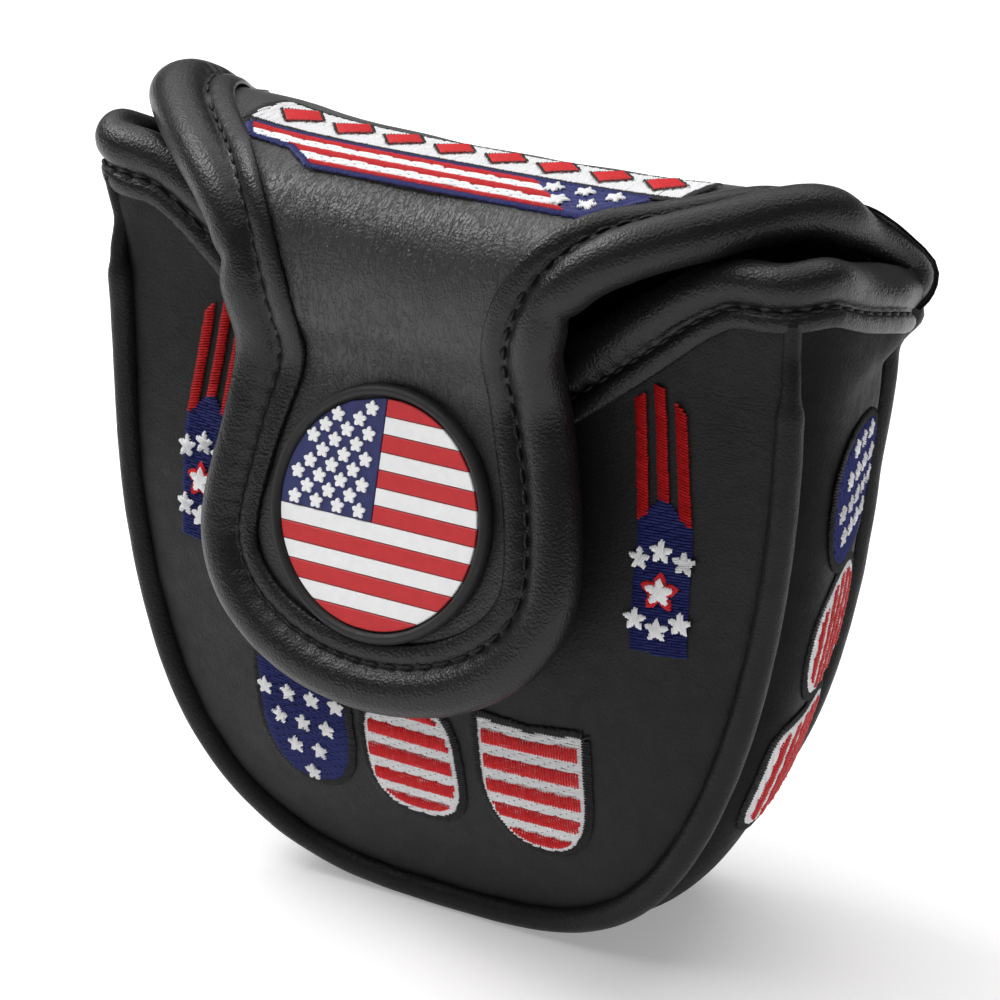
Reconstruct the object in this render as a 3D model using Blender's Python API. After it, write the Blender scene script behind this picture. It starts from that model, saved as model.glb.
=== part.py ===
"""Mallet putter head cover: a padded pouch with a fold-over flap, real size.

X is the width, Y the depth with the front at -Y, and Z is up. The origin is on the
floor, in the middle of the flat stretch of the gusset that the cover stands on.
Lengths are in millimetres in this file and become metres in the meshes.
"""

import math

import bmesh
import bpy
from mathutils import Vector

MM = 0.001

# Pouch outline, seen from the front: a flat-bottomed U.
SEAM_HALF_WIDTH = 60.0
SEAM_CURVE_HEIGHT = 90.7
SEAM_CURVE_POWER = 0.64
SEAM_BOTTOM = 2.0
CURVE_SHARE = 0.8
SEAM_DEPTH = 42.0
SEAM_HEIGHT = 104.0
FRONT_LEAN = 2.7
FRONT_FOOT_RECESS = 6.0
BACK_FOOT_RECESS = 4.0
FOOT_SHARE = 0.3

# Rings that the front and back panels' meshes are built in, about this height.
PANEL_CENTRE_Z = 48.0
PANEL_RINGS = (0.35, 0.7, 1.0)

# Swell of the padded panels and of the gusset.
PANEL_SWELL = {-1: 7.5, 1: 5.0}
PANEL_SWELL_TOP = {-1: 98.0, 1: 106.0}
PANEL_SWELL_POWER = 2.5
GUSSET_SWELL = 3.6
GUSSET_SWELL_POWER = 4

# Layers, from the outside in: leather, foam, lining.
LEATHER = 1.0
FOAM = 1.5
LINING = 0.8
LAYER_GAP = 0.35
LAYERS = (("", 0.0, LEATHER), ("foam", LEATHER + LAYER_GAP, FOAM),
          ("lining", LEATHER + FOAM + 2 * LAYER_GAP, LINING))
STACK = LEATHER + FOAM + LINING + 2 * LAYER_GAP

# Seam piping.
PIPING_RADIUS = 1.8
SEAM_MARGIN = PIPING_RADIUS + 0.5
PIPING_TOP = {-1: 106.0, 1: 101.0}
PANEL_SIDE_TOP = {-1: 105.6, 1: 104.0}

# Padded binding: a leather strip folded round a filler cord and the panel's edge.
ROLL_RADIUS = 4.0
ROLL_SKIN = 0.8
CORE_RADIUS = ROLL_RADIUS - ROLL_SKIN - 0.35
LEG_INNER = STACK / 2 + 0.45
LEG_OUTER = LEG_INNER + ROLL_SKIN
LEG_LENGTH = 5.8
CROWN_LEG_LENGTH = 3.0
EDGE_INSET = 4.0

# Mouth of the pouch: the front lip dips in the middle, the sides fall to the back.
LIP_LOW = 81.0
LIP_RISE = 30.0
LIP_SPAN = 62.0
LIP_END_X = 51.0
LIP_STEPS = 6
CORNER_Z = 114.2
SIDE_BACK_Y = 17.0
SIDE_BACK_Z = 104.4
CORNER_DROP = 3.0
CORNER_DROP_RUN = {-1: 5.0, 1: 2.0}
EDGE_CLEARANCE = 0.3
LIP_DROP_START = 38.0
GUSSET_COLUMNS = (0.0, 0.14, 0.33, 0.5, 0.67, 0.86, 1.0)
GUSSET_END = 0.998

# Flap, from the back hinge over the crown and down the front: (y, z, half width of
# the binding's centre line). Below the last point the tip is flat and half an ellipse.
FLAP_LINE = (
    (21.0, 106.6, 59.5), (20.3, 110.4, 59.5), (15.0, 114.8, 58.5), (6.0, 118.0, 57.5),
    (-3.0, 120.2, 54.0), (-13.0, 120.7, 48.0), (-23.0, 119.3, 39.0), (-28.3, 115.4, 32.0),
    (-30.6, 108.6, 26.0), (-30.4, 100.0, 22.8), (-27.9, 92.0, 22.9), (-30.5, 80.4, 26.6),
    (-32.6, 72.2, 28.6), (-34.0, 66.5, 29.3),
)
TIP_SPLIT = 7
TIP_TILT = math.radians(14.0)
TIP_DEPTH = 20.4
CROWN_LIFT = 2.6
CROWN_LIFT_X = 52.0
HINGE_GAP = 0.35
HINGE_GAP_GROWTH = 0.4
HINGE_PANEL_DROP = 1.2
HINGE_HALF_WIDTH = 53.0
CROWN_BINDING_GAP = 3.6
TIP_BINDING_GAP = 5.0
CROWN_ROLL_START = 2.0

# Round badge on the tip, and the closing magnets.
BADGE_HEIGHT = 72.2
BADGE_RADIUS = 19.2
BADGE_THICK = 1.9
BADGE_FACE_RADIUS = 17.4
BADGE_FACE_DEPTH = 0.9
CANTON_X = 3.2
STRIPES = 13
MAGNET_RADIUS = 7.5
MAGNET_THICK = 1.2
MAGNET_HEIGHT = 63.5
FIT_GAP = 0.35

# Embroidery: thin stitched fields that follow the leather. Each is (name, low x, high x,
# low z, high z) on the front panel, and (name, low z, high z) on the gusset.
THREAD = 0.6
THREAD_GAP = 0.7
FRONT_EMBROIDERY = (
    ("front_emblem_left", -30.0, -12.0, 20.0, 41.0),
    ("front_emblem_middle", -9.0, 9.0, 19.0, 41.0),
    ("front_emblem_right", 12.0, 31.0, 19.0, 42.0),
    ("side_motif_left", -47.0, -37.0, 56.0, 95.5),
    ("side_motif_right", 37.0, 47.0, 56.0, 95.5),
)
GUSSET_EMBROIDERY = (
    ("gusset_emblem_top", 69.0, 86.0),
    ("gusset_emblem_middle", 50.0, 67.0),
    ("gusset_emblem_bottom", 31.0, 48.0),
)
GUSSET_EMBLEM_SHARE = (0.25, 0.75)

# Colours: red, green, blue, roughness, metallic.
COLOURS = {
    "leather": (0.018, 0.018, 0.020, 0.42, 0.0),
    "foam": (0.30, 0.30, 0.28, 0.95, 0.0),
    "lining": (0.035, 0.035, 0.038, 0.95, 0.0),
    "filler": (0.55, 0.53, 0.48, 0.90, 0.0),
    "magnet": (0.62, 0.62, 0.64, 0.30, 1.0),
    "navy": (0.020, 0.030, 0.140, 0.60, 0.0),
    "red": (0.550, 0.015, 0.020, 0.60, 0.0),
    "white": (0.800, 0.800, 0.800, 0.60, 0.0),
    "rubber": (0.012, 0.012, 0.013, 0.50, 0.0),
}


def clear_scene():
    for obj in list(bpy.data.objects):
        bpy.data.objects.remove(obj, do_unlink=True)


def material(name, colour):
    made = bpy.data.materials.new(name)
    made.use_nodes = True
    shader = made.node_tree.nodes["Principled BSDF"]
    red, green, blue, roughness, metallic = COLOURS[colour]
    shader.inputs["Base Color"].default_value = (red, green, blue, 1.0)
    shader.inputs["Roughness"].default_value = roughness
    shader.inputs["Metallic"].default_value = metallic
    return made


def new_object(name, bm, colour, parent, smooth=True):
    """Turns a bmesh in millimetres into an object whose origin is its parent's."""
    origin = parent.location if parent else Vector()
    for vert in bm.verts:
        vert.co = vert.co * MM - origin
    bmesh.ops.recalc_face_normals(bm, faces=bm.faces)
    mesh = bpy.data.meshes.new(name)
    bm.to_mesh(mesh)
    bm.free()
    if smooth:
        mesh.shade_smooth()
    obj = bpy.data.objects.new(name, mesh)
    obj.data.materials.append(material(name + "_material", colour))
    obj.parent = parent
    bpy.context.scene.collection.objects.link(obj)
    return obj


def body_empty(name, y, z):
    """An empty on a hinge's axis, which the hinged pieces are parented to."""
    empty = bpy.data.objects.new(name, None)
    empty.location = (0.0, y * MM, z * MM)
    bpy.context.scene.collection.objects.link(empty)
    return empty


def smoothstep(t):
    t = min(max(t, 0.0), 1.0)
    return t * t * (3.0 - 2.0 * t)


# ---------------------------------------------------------------- surfaces


def seam_half_width(z):
    rise = min(max((z - SEAM_BOTTOM) / SEAM_CURVE_HEIGHT, 0.0), 1.0)
    return SEAM_HALF_WIDTH * math.sqrt(1.0 - (1.0 - rise) ** 2) ** SEAM_CURVE_POWER


def seam_y(z, side):
    """Depth of the front (side -1) or back (side 1) seam at height z."""
    t = min(max((z - SEAM_BOTTOM) / SEAM_HEIGHT, 0.0), 1.1)
    foot = max(0.0, 1.0 - t / FOOT_SHARE) ** 2
    if side < 0:
        return -SEAM_DEPTH / 2 + FRONT_LEAN * t ** 0.8 + FRONT_FOOT_RECESS * foot
    return SEAM_DEPTH / 2 - BACK_FOOT_RECESS * foot


def panel_surface(side):
    """Outer face of the front or back panel over (x, z)."""

    def surface(x, z):
        width = seam_half_width(z)
        across = 1.0 - min(abs(x) / max(width, 1.0), 1.0) ** PANEL_SWELL_POWER
        rise = min(max((z - SEAM_BOTTOM) / PANEL_SWELL_TOP[side], 0.0), 1.0)
        swell = PANEL_SWELL[side] * across * (1.0 - (2.0 * rise - 1.0) ** 2) ** 2
        return Vector((x, seam_y(z, side) + side * swell, z))

    return surface


def seam_point(a, top):
    """Point (x, z) on the seam: a is 0 at the bottom, -1 and 1 at the two ends, at height top."""
    share = abs(a) / CURVE_SHARE
    if share <= 1.0:
        angle = math.pi / 2 * (1.0 - share)
        x = SEAM_HALF_WIDTH * math.cos(angle) ** SEAM_CURVE_POWER if share > 0 else 0.0
        z = SEAM_BOTTOM + SEAM_CURVE_HEIGHT * (1.0 - math.sin(angle))
    else:
        x = SEAM_HALF_WIDTH
        start = SEAM_BOTTOM + SEAM_CURVE_HEIGHT
        z = start + (top - start) * (abs(a) - CURVE_SHARE) / (1.0 - CURVE_SHARE)
    return math.copysign(x, a) if a else 0.0, z


def seam_normal(a):
    """Outward direction (x, z) of the seam outline."""
    step = 0.002
    low = seam_point(max(a - step, -1.0), SEAM_HEIGHT)
    high = seam_point(min(a + step, 1.0), SEAM_HEIGHT)
    dx, dz = high[0] - low[0], high[1] - low[1]
    length = math.hypot(dx, dz)
    return dz / length, -dx / length


def gusset_y(v, z):
    """Depth of the gusset's column v at height z."""
    front = seam_y(z, -1) + SEAM_MARGIN
    back = seam_y(z, 1) - SEAM_MARGIN
    return front + (back - front) * v


def gusset_swell(v):
    return GUSSET_SWELL * (1.0 - abs(2.0 * v - 1.0) ** GUSSET_SWELL_POWER)


def corner_y():
    """Depth where the mouth's front corner ends and its side begins."""
    return gusset_y(GUSSET_COLUMNS[1], SEAM_HEIGHT)


def mouth_side_z(y):
    """Height of the mouth binding's centre along the gusset's top."""
    share = (y - corner_y()) / (SIDE_BACK_Y - corner_y())
    return CORNER_Z + (SIDE_BACK_Z - CORNER_Z) * share


def gusset_top(y):
    """Height of the gusset's raw edge, which drops away at the mouth's two corners."""
    back_y = gusset_y(GUSSET_COLUMNS[-2], SEAM_HEIGHT)
    front_corner = smoothstep((corner_y() - y) / CORNER_DROP_RUN[-1])
    back_corner = smoothstep((y - back_y) / CORNER_DROP_RUN[1] + 1.0)
    edge = mouth_side_z(max(y, corner_y())) - EDGE_INSET - EDGE_CLEARANCE
    return edge - CORNER_DROP * (front_corner + back_corner)


def gusset_surface(a, v):
    """Outer face of the gusset: a runs round the U, v from the front seam to the back one."""
    _, z = seam_point(a, SEAM_HEIGHT)
    y = gusset_y(v, z)
    x, z = seam_point(a, gusset_top(y))
    nx, nz = seam_normal(a)
    swell = gusset_swell(v)
    return Vector((x + nx * swell, y, max(z + nz * swell, 0.0)))


def flap_row(q):
    """(y, z, half width) of the flap's outer face at q, a place in FLAP_LINE."""
    last = len(FLAP_LINE) - 1
    if q >= last:
        y, z, half = FLAP_LINE[last]
        run = q - last
        depth = min(run / TIP_DEPTH, 1.0)
        half_here = half * math.sqrt(1.0 - depth ** 2)
        return y - math.sin(TIP_TILT) * run, z - math.cos(TIP_TILT) * run, half_here
    i = min(int(max(q, 0.0)), last - 1)
    t = q - i
    points = [FLAP_LINE[min(max(k, 0), last)] for k in (i - 1, i, i + 1, i + 2)]
    out = []
    for p0, p1, p2, p3 in zip(*points):
        out.append(0.5 * (2 * p1 + (p2 - p0) * t + (2 * p0 - 5 * p1 + 4 * p2 - p3) * t * t
                          + (3 * p1 - p0 - 3 * p2 + p3) * t ** 3))
    return tuple(out)


def flap_surface(q, x):
    y, z, _ = flap_row(q)
    lift = CROWN_LIFT * (abs(x) / CROWN_LIFT_X) ** 3
    lift *= math.sin(math.pi * min(max(q / TIP_SPLIT, 0.0), 1.0)) ** 2
    return Vector((x, y, z + lift))


def normal(surface, u, v, outward):
    """Unit normal of a surface, on the side that the direction outward points to."""
    step = 0.01
    du = surface(u + step, v) - surface(u - step, v)
    dv = surface(u, v + step) - surface(u, v - step)
    n = du.cross(dv).normalized()
    return n if n.dot(outward) > 0 else -n


# ---------------------------------------------------------------- mesh builders


def grid_bmesh(rows):
    bm = bmesh.new()
    verts = [[bm.verts.new(p) for p in row] for row in rows]
    for low, high in zip(verts, verts[1:]):
        for i in range(len(low) - 1):
            bm.faces.new((low[i], low[i + 1], high[i + 1], high[i]))
    return bm


def disc_bmesh(rings, centre):
    """A round mesh from closed rings, the outermost last, with a fan in the middle."""
    bm = bmesh.new()
    verts = [[bm.verts.new(p) for p in ring] for ring in rings]
    middle = bm.verts.new(centre)
    count = len(verts[0])
    for i in range(count):
        j = (i + 1) % count
        bm.faces.new((middle, verts[0][i], verts[0][j]))
        for inner, outer in zip(verts, verts[1:]):
            bm.faces.new((inner[i], outer[i], outer[j], inner[j]))
    return bm


def face_outward(bm, outward_of):
    """Turns an open sheet's faces to the side that outward_of(face centre) points to."""
    bm.normal_update()
    score = sum(f.normal.dot(outward_of(f.calc_center_median())) for f in bm.faces)
    if score < 0:
        bmesh.ops.reverse_faces(bm, faces=bm.faces)


def sheet_object(name, bm, thickness, colour, parent, outward_of):
    """An open sheet given its thickness inward by a Solidify modifier."""
    origin = parent.location if parent else Vector()
    face_outward(bm, outward_of)
    for vert in bm.verts:
        vert.co = vert.co * MM - origin
    mesh = bpy.data.meshes.new(name)
    bm.to_mesh(mesh)
    bm.free()
    mesh.shade_smooth()
    obj = bpy.data.objects.new(name, mesh)
    obj.data.materials.append(material(name + "_material", colour))
    obj.parent = parent
    bpy.context.scene.collection.objects.link(obj)
    solidify = obj.modifiers.new("Thickness", "SOLIDIFY")
    solidify.thickness = thickness * MM
    solidify.offset = -1.0
    return obj


def swept_object(name, stations, section, colour, parent=None):
    """A section of (across, up) points swept through stations of (centre, across, up)."""
    bm = bmesh.new()
    loops = []
    for centre, across, up in stations:
        loops.append([bm.verts.new(centre + across * a + up * b) for a, b in section])
    for low, high in zip(loops, loops[1:]):
        for i in range(len(section)):
            j = (i + 1) % len(section)
            bm.faces.new((low[i], low[j], high[j], high[i]))
    bm.faces.new(loops[0])
    bm.faces.new(list(reversed(loops[-1])))
    return new_object(name, bm, colour, parent)


def circle_section(radius, sides):
    turn = [2 * math.pi * i / sides for i in range(sides)]
    return [(radius * math.cos(t), radius * math.sin(t)) for t in turn]


def binding_section(leg):
    """A strip folded round the filler cord, with two legs down the panel's edge."""
    outer_start = -math.acos(LEG_OUTER / ROLL_RADIUS)
    inner_radius = ROLL_RADIUS - ROLL_SKIN
    inner_start = -math.acos(LEG_INNER / inner_radius)
    points = [(LEG_OUTER, -leg)]
    for i in range(7):
        t = outer_start + (math.pi - 2 * outer_start) * i / 6
        points.append((ROLL_RADIUS * math.cos(t), ROLL_RADIUS * math.sin(t)))
    points += [(-LEG_OUTER, -leg), (-LEG_INNER, -leg)]
    for i in range(6, -1, -1):
        t = inner_start + (math.pi - 2 * inner_start) * i / 6
        points.append((inner_radius * math.cos(t), inner_radius * math.sin(t)))
    points.append((LEG_INNER, -leg))
    return points


def swept_frames(points, outwards, rising):
    """Stations with each section square to the path, its up side on the side of rising."""
    stations = []
    for i, (point, outward) in enumerate(zip(points, outwards)):
        ahead = points[min(i + 1, len(points) - 1)] - points[max(i - 1, 0)]
        tangent = ahead.normalized()
        across = (outward - tangent * outward.dot(tangent)).normalized()
        up = across.cross(tangent).normalized()
        if up.dot(rising[i]) < 0:
            up = -up
        stations.append((point, across, up))
    return stations


# ---------------------------------------------------------------- mouth


def lip_edge(x):
    """Height of the front panel's raw edge at the mouth."""
    return LIP_LOW + LIP_RISE * (1.0 - math.cos(math.pi * x / LIP_SPAN)) / 2.0


def lip_stations():
    """Places x along the front lip, from the middle to the right end."""
    return [LIP_END_X * i / LIP_STEPS for i in range(LIP_STEPS + 1)]


def lip_half():
    """Right half of the lip's binding: its centre points and outward directions."""
    front = panel_surface(-1)
    found = []
    for x in lip_stations():
        out = normal(front, x, lip_edge(x), Vector((0.0, -1.0, 0.0)))
        ahead = Vector((2.0, 0.0, lip_edge(x + 1.0) - lip_edge(x - 1.0))).normalized()
        up = ahead.cross(out).normalized()
        up = up if up.z > 0 else -up
        point = front(x, lip_edge(x)) + Vector((0.0, STACK / 2, 0.0)) + up * EDGE_INSET
        found.append((point, out))
    return found


def corner_half(start):
    """Right front corner of the mouth, a quarter turn from the lip's end to the side."""
    side_x = SEAM_HALF_WIDTH + gusset_swell(GUSSET_COLUMNS[1]) - STACK / 2
    radius = corner_y() - start.y
    found = []
    for degrees in (-67.5, -45.0, -22.5):
        turn = math.radians(degrees)
        out = Vector((math.cos(turn), math.sin(turn), 0.0))
        z = start.z + (CORNER_Z - start.z) * smoothstep((degrees + 90.0) / 90.0)
        centre = Vector((side_x - radius, corner_y(), z))
        found.append((centre + out * radius, out))
    return found


def side_half():
    """Right side of the mouth, along the gusset's columns to the back corner."""
    inner = SEAM_HALF_WIDTH - STACK / 2
    found = []
    for v in GUSSET_COLUMNS[1:-1]:
        y = gusset_y(v, SEAM_HEIGHT)
        point = Vector((inner + gusset_swell(v), y, mouth_side_z(y)))
        found.append((point, Vector((1.0, 0.0, 0.0))))
    last_y = gusset_y(1.0, SEAM_HEIGHT)
    share = (last_y - SIDE_BACK_Y) / (last_y - found[-1][0].y)
    x = inner + gusset_swell(GUSSET_COLUMNS[-2]) * share
    found.append((Vector((x, SIDE_BACK_Y, SIDE_BACK_Z)), Vector((1.0, 0.0, 0.0))))
    return found


def mouth_path():
    """(points, outward directions) of the mouth binding, from the left back corner to the right."""
    half = lip_half()
    half += corner_half(half[-1][0])
    half += side_half()
    mirrored = [(Vector((-p.x, p.y, p.z)), Vector((-n.x, n.y, n.z))) for p, n in half[:0:-1]]
    whole = mirrored + half
    return [p for p, _ in whole], [n for _, n in whole]


def build_mouth():
    points, outwards = mouth_path()
    rising = [Vector((0.0, 0.0, 1.0))] * len(points)
    stations = swept_frames(points, outwards, rising)
    swept_object("mouth_binding", stations, binding_section(LEG_LENGTH), "leather")
    swept_object("mouth_binding_filler", stations, circle_section(CORE_RADIUS, 6), "filler")


# ---------------------------------------------------------------- pouch


def panel_outline(side, inset):
    """Closed outline (x, z) of the front or back panel, inset from the seam."""
    top = PANEL_SIDE_TOP[side]
    points = []
    steps = 13
    for i in range(-steps, steps + 1):
        a = i / steps
        x, z = seam_point(a, top)
        nx, nz = seam_normal(a)
        points.append((x - nx * inset, z - nz * inset))
    if side < 0:
        places = lip_stations()
        for x in places[::-1] + [-p for p in places[1:]]:
            share = (abs(x) - LIP_DROP_START) / (LIP_END_X - LIP_DROP_START)
            drop = CORNER_DROP * smoothstep(share)
            points.append((x, lip_edge(x) - drop))
    else:
        height = FLAP_LINE[0][1] - HINGE_PANEL_DROP
        for i in range(4, -5, -1):
            points.append((HINGE_HALF_WIDTH * i / 4, height))
    return points


def build_panel(side, name):
    surface = panel_surface(side)
    outward = Vector((0.0, float(side), 0.0))
    outline = panel_outline(side, SEAM_MARGIN)
    made = {}
    for suffix, depth, thickness in LAYERS:
        rings = []
        for share in PANEL_RINGS:
            ring = []
            for x, z in outline:
                point = surface(x * share, PANEL_CENTRE_Z + (z - PANEL_CENTRE_Z) * share)
                ring.append(point - outward * depth)
            rings.append(ring)
        middle = surface(0.0, PANEL_CENTRE_Z) - outward * depth
        node = name + "_" + (suffix or "panel")
        colour = {"": "leather", "foam": "foam", "lining": "lining"}[suffix]
        made[suffix] = sheet_object(node, disc_bmesh(rings, middle), thickness, colour, None,
                                    lambda _: outward)
    return made


def build_gusset():
    steps = 15
    for suffix, depth, thickness in LAYERS:
        columns = GUSSET_COLUMNS[1:-1] if suffix else GUSSET_COLUMNS
        rows = []
        for i in range(-steps, steps + 1):
            a = GUSSET_END * i / steps
            row = []
            for v in columns:
                nx, nz = seam_normal(a)
                point = gusset_surface(a, v)
                row.append(point - Vector((nx, 0.0, nz)) * depth)
            rows.append(row)
        node = "gusset_" + (suffix or "panel")
        colour = {"": "leather", "foam": "foam", "lining": "lining"}[suffix]
        sheet_object(node, grid_bmesh(rows), thickness, colour, None,
                     lambda c: Vector((c.x, 0.0, c.z - 50.0)))


def build_piping(side, name):
    """A leather-covered cord along the seam, as a curve with a round bevel."""
    steps = 16
    curve = bpy.data.curves.new(name, "CURVE")
    curve.dimensions = "3D"
    curve.bevel_depth = PIPING_RADIUS * MM
    curve.bevel_resolution = 1
    curve.use_fill_caps = True
    spline = curve.splines.new("POLY")
    spline.points.add(2 * steps)
    for i in range(-steps, steps + 1):
        x, z = seam_point(i / steps, PIPING_TOP[side])
        y = seam_y(z, side)
        spline.points[i + steps].co = (x * MM, y * MM, z * MM, 1.0)
    obj = bpy.data.objects.new(name, curve)
    obj.data.materials.append(material(name + "_material", "leather"))
    bpy.context.scene.collection.objects.link(obj)


# ---------------------------------------------------------------- flap


def place_near(start, gap, side):
    """Place along the flap line at the distance gap from start, on one side of it."""
    y0, z0, _ = flap_row(start)
    q = float(start)
    while True:
        q += 0.005 * side
        y, z, _ = flap_row(q)
        if math.hypot(y - y0, z - z0) >= gap:
            return q


def spread(low, high, count):
    return [low + (high - low) * i / count for i in range(count + 1)]


def crown_rows(gap):
    middle = [float(q) for q in range(1, TIP_SPLIT)]
    return [place_near(0, gap, 1)] + middle + [place_near(TIP_SPLIT, gap, -1)]


def tip_rows(gap):
    last = len(FLAP_LINE) - 1
    return [place_near(TIP_SPLIT, gap, 1)] + [float(q) for q in range(TIP_SPLIT + 1, last + 1)]


def tip_round_rows():
    """Places down the round end of the tip's layers."""
    last = len(FLAP_LINE) - 1
    depth = TIP_DEPTH - EDGE_INSET
    return [last + depth * math.sin(math.radians(t)) for t in (22, 42, 60, 76)]


def flap_outward(q):
    """Outward direction of the flap's outer face on its centre line."""
    toward = Vector((0.0, -1.0, 1.0)) if q > CROWN_ROLL_START else Vector((0.0, 1.0, 1.0))
    return normal(flap_surface, q, 0.0, toward)


def flap_normal(q, x):
    return normal(flap_surface, q, x, flap_outward(q))


def flap_half(q):
    """Half width of the flap's layers, whose edge stops inside the binding."""
    last = len(FLAP_LINE) - 1
    if q <= last:
        low, high = flap_row(max(q - 0.1, 0.0)), flap_row(min(q + 0.1, last))
        run = math.hypot(high[0] - low[0], high[1] - low[1])
        slope = (high[2] - low[2]) / run
        return flap_row(q)[2] - EDGE_INSET * math.hypot(1.0, slope)
    depth = (q - last) / (TIP_DEPTH - EDGE_INSET)
    return (FLAP_LINE[last][2] - EDGE_INSET) * math.sqrt(max(1.0 - depth ** 2, 0.0))


def build_flap_layers(body, parent, rows_at, columns):
    made = {}
    for suffix, depth, thickness in LAYERS:
        points = []
        for q in rows_at(HINGE_GAP + HINGE_GAP_GROWTH * depth):
            half = flap_half(q)
            row = []
            for s in spread(-1.0, 1.0, columns):
                x = s * half
                row.append(flap_surface(q, x) - flap_normal(q, x) * depth)
            points.append(row)
        node = body + "_" + (suffix or "leather")
        colour = {"": "leather", "foam": "foam", "lining": "lining"}[suffix]
        made[suffix] = sheet_object(node, grid_bmesh(points), thickness, colour, parent,
                                    lambda c: c - Vector((c.x, -5.0, 75.0)))
    return made


def edge_station(q, x_sign):
    """Centre of the flap's binding, its outward direction, and the way off the flap's edge."""
    half = flap_row(q)[2]
    x = x_sign * half
    n = flap_normal(q, x)
    return flap_surface(q, x) - n * (STACK / 2), n, Vector((x_sign, 0.0, 0.0))


def build_crown_binding(name, x_sign, parent):
    rows = [q for q in crown_rows(CROWN_BINDING_GAP) if q >= CROWN_ROLL_START]
    found = [edge_station(q, x_sign) for q in rows]
    stations = swept_frames(*zip(*found))
    swept_object(name, stations, binding_section(CROWN_LEG_LENGTH), "leather", parent)
    swept_object(name + "_filler", stations, circle_section(CORE_RADIUS, 6), "filler", parent)


def build_tip_binding(parent):
    rows = tip_rows(TIP_BINDING_GAP)
    right = [edge_station(q, 1.0) for q in rows]
    left = [edge_station(q, -1.0) for q in rows]
    last = len(FLAP_LINE) - 1
    n = flap_normal(last + 1.0, 0.0)
    down = Vector((0.0, -math.sin(TIP_TILT), -math.cos(TIP_TILT)))
    start = flap_surface(float(last), 0.0) - n * (STACK / 2)
    bottom = []
    steps = 12
    for i in range(1, steps):
        turn = math.pi * i / steps
        x = FLAP_LINE[last][2] * math.cos(turn)
        run = TIP_DEPTH * math.sin(turn)
        out = Vector((math.cos(turn), 0.0, 0.0)) + down * math.sin(turn)
        bottom.append((start + Vector((x, 0.0, 0.0)) + down * run, n, out))
    stations = swept_frames(*zip(*(right + bottom + left[::-1])))
    swept_object("tip_binding", stations, binding_section(LEG_LENGTH), "leather", parent)
    swept_object("tip_binding_filler", stations, circle_section(CORE_RADIUS, 6), "filler", parent)


# ---------------------------------------------------------------- badge and magnets


def disc_bmesh_on(centre, axis, radius, thickness, sides):
    """A solid disc, its first face at centre and its second one thickness along axis."""
    bm = bmesh.new()
    bmesh.ops.create_cone(bm, cap_ends=True, segments=sides, radius1=radius, radius2=radius,
                          depth=thickness)
    turn = axis.to_track_quat("Z", "Y")
    for vert in bm.verts:
        vert.co = turn @ (vert.co + Vector((0.0, 0.0, thickness / 2))) + centre
    return bm


def cut(obj, cutter):
    cutter.hide_render = True
    cutter.display_type = "WIRE"
    boolean = obj.modifiers.new("Cut", "BOOLEAN")
    boolean.operation = "DIFFERENCE"
    boolean.object = cutter
    boolean.solver = "EXACT"


def build_badge(parent):
    """A moulded rubber disc on the tip: a black dish that holds the striped face and its canton."""
    last = len(FLAP_LINE) - 1
    out = flap_normal(last + 1.0, 0.0)
    down = Vector((0.0, -math.sin(TIP_TILT), -math.cos(TIP_TILT)))
    start = flap_surface(float(last), 0.0)
    rise = (BADGE_HEIGHT - start.z) / math.cos(TIP_TILT)
    seat = start - down * rise + out * FIT_GAP
    base = new_object("badge_base", disc_bmesh_on(seat, out, BADGE_RADIUS, BADGE_THICK, 32),
                      "rubber", parent, smooth=False)
    recess = seat + out * (BADGE_THICK - BADGE_FACE_DEPTH)
    dish = disc_bmesh_on(recess, out, BADGE_FACE_RADIUS + FIT_GAP, BADGE_THICK, 32)
    cut(base, new_object("badge_dish", dish, "rubber", parent, smooth=False))
    face_seat = recess + out * FIT_GAP
    face = new_object("badge_stripes", disc_bmesh_on(face_seat, out, BADGE_FACE_RADIUS,
                                                     BADGE_FACE_DEPTH, 32),
                      "white", parent, smooth=False)
    cut(face, canton_block("canton_cutter", face_seat, out, down, FIT_GAP, parent))
    canton = new_object("badge_canton", disc_bmesh_on(face_seat, out, BADGE_FACE_RADIUS,
                                                      BADGE_FACE_DEPTH, 32),
                        "navy", parent, smooth=False)
    cut(canton, canton_block("canton_keeper", face_seat, out, down, 0.0, parent))
    canton.modifiers["Cut"].operation = "INTERSECT"


def canton_block(name, centre, out, down, grow, parent):
    """The upper left quarter of the badge, where the canton lies, as a cutting block."""
    bm = bmesh.new()
    beyond = -BADGE_RADIUS * 1.5
    canton_foot = BADGE_FACE_RADIUS / STRIPES + grow
    corners = []
    for across in (beyond, CANTON_X + grow):
        for along in (beyond, canton_foot):
            for lift in (-BADGE_THICK, BADGE_THICK):
                corners.append(bm.verts.new(centre + Vector((across, 0.0, 0.0)) + down * along
                                            + out * lift))
    bmesh.ops.convex_hull(bm, input=corners)
    return new_object(name, bm, "navy", parent, smooth=False)


def build_magnet(name, foam, point, axis, parent):
    """A disc magnet in a round pocket through the foam layer."""
    pocket = disc_bmesh_on(point - axis * STACK, axis, MAGNET_RADIUS + FIT_GAP, 2 * STACK, 24)
    cut(foam, new_object(name + "_pocket", pocket, "foam", parent, smooth=False))
    bm = disc_bmesh_on(point - axis * (MAGNET_THICK / 2), axis, MAGNET_RADIUS, MAGNET_THICK, 24)
    new_object(name, bm, "magnet", parent, smooth=False)


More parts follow.
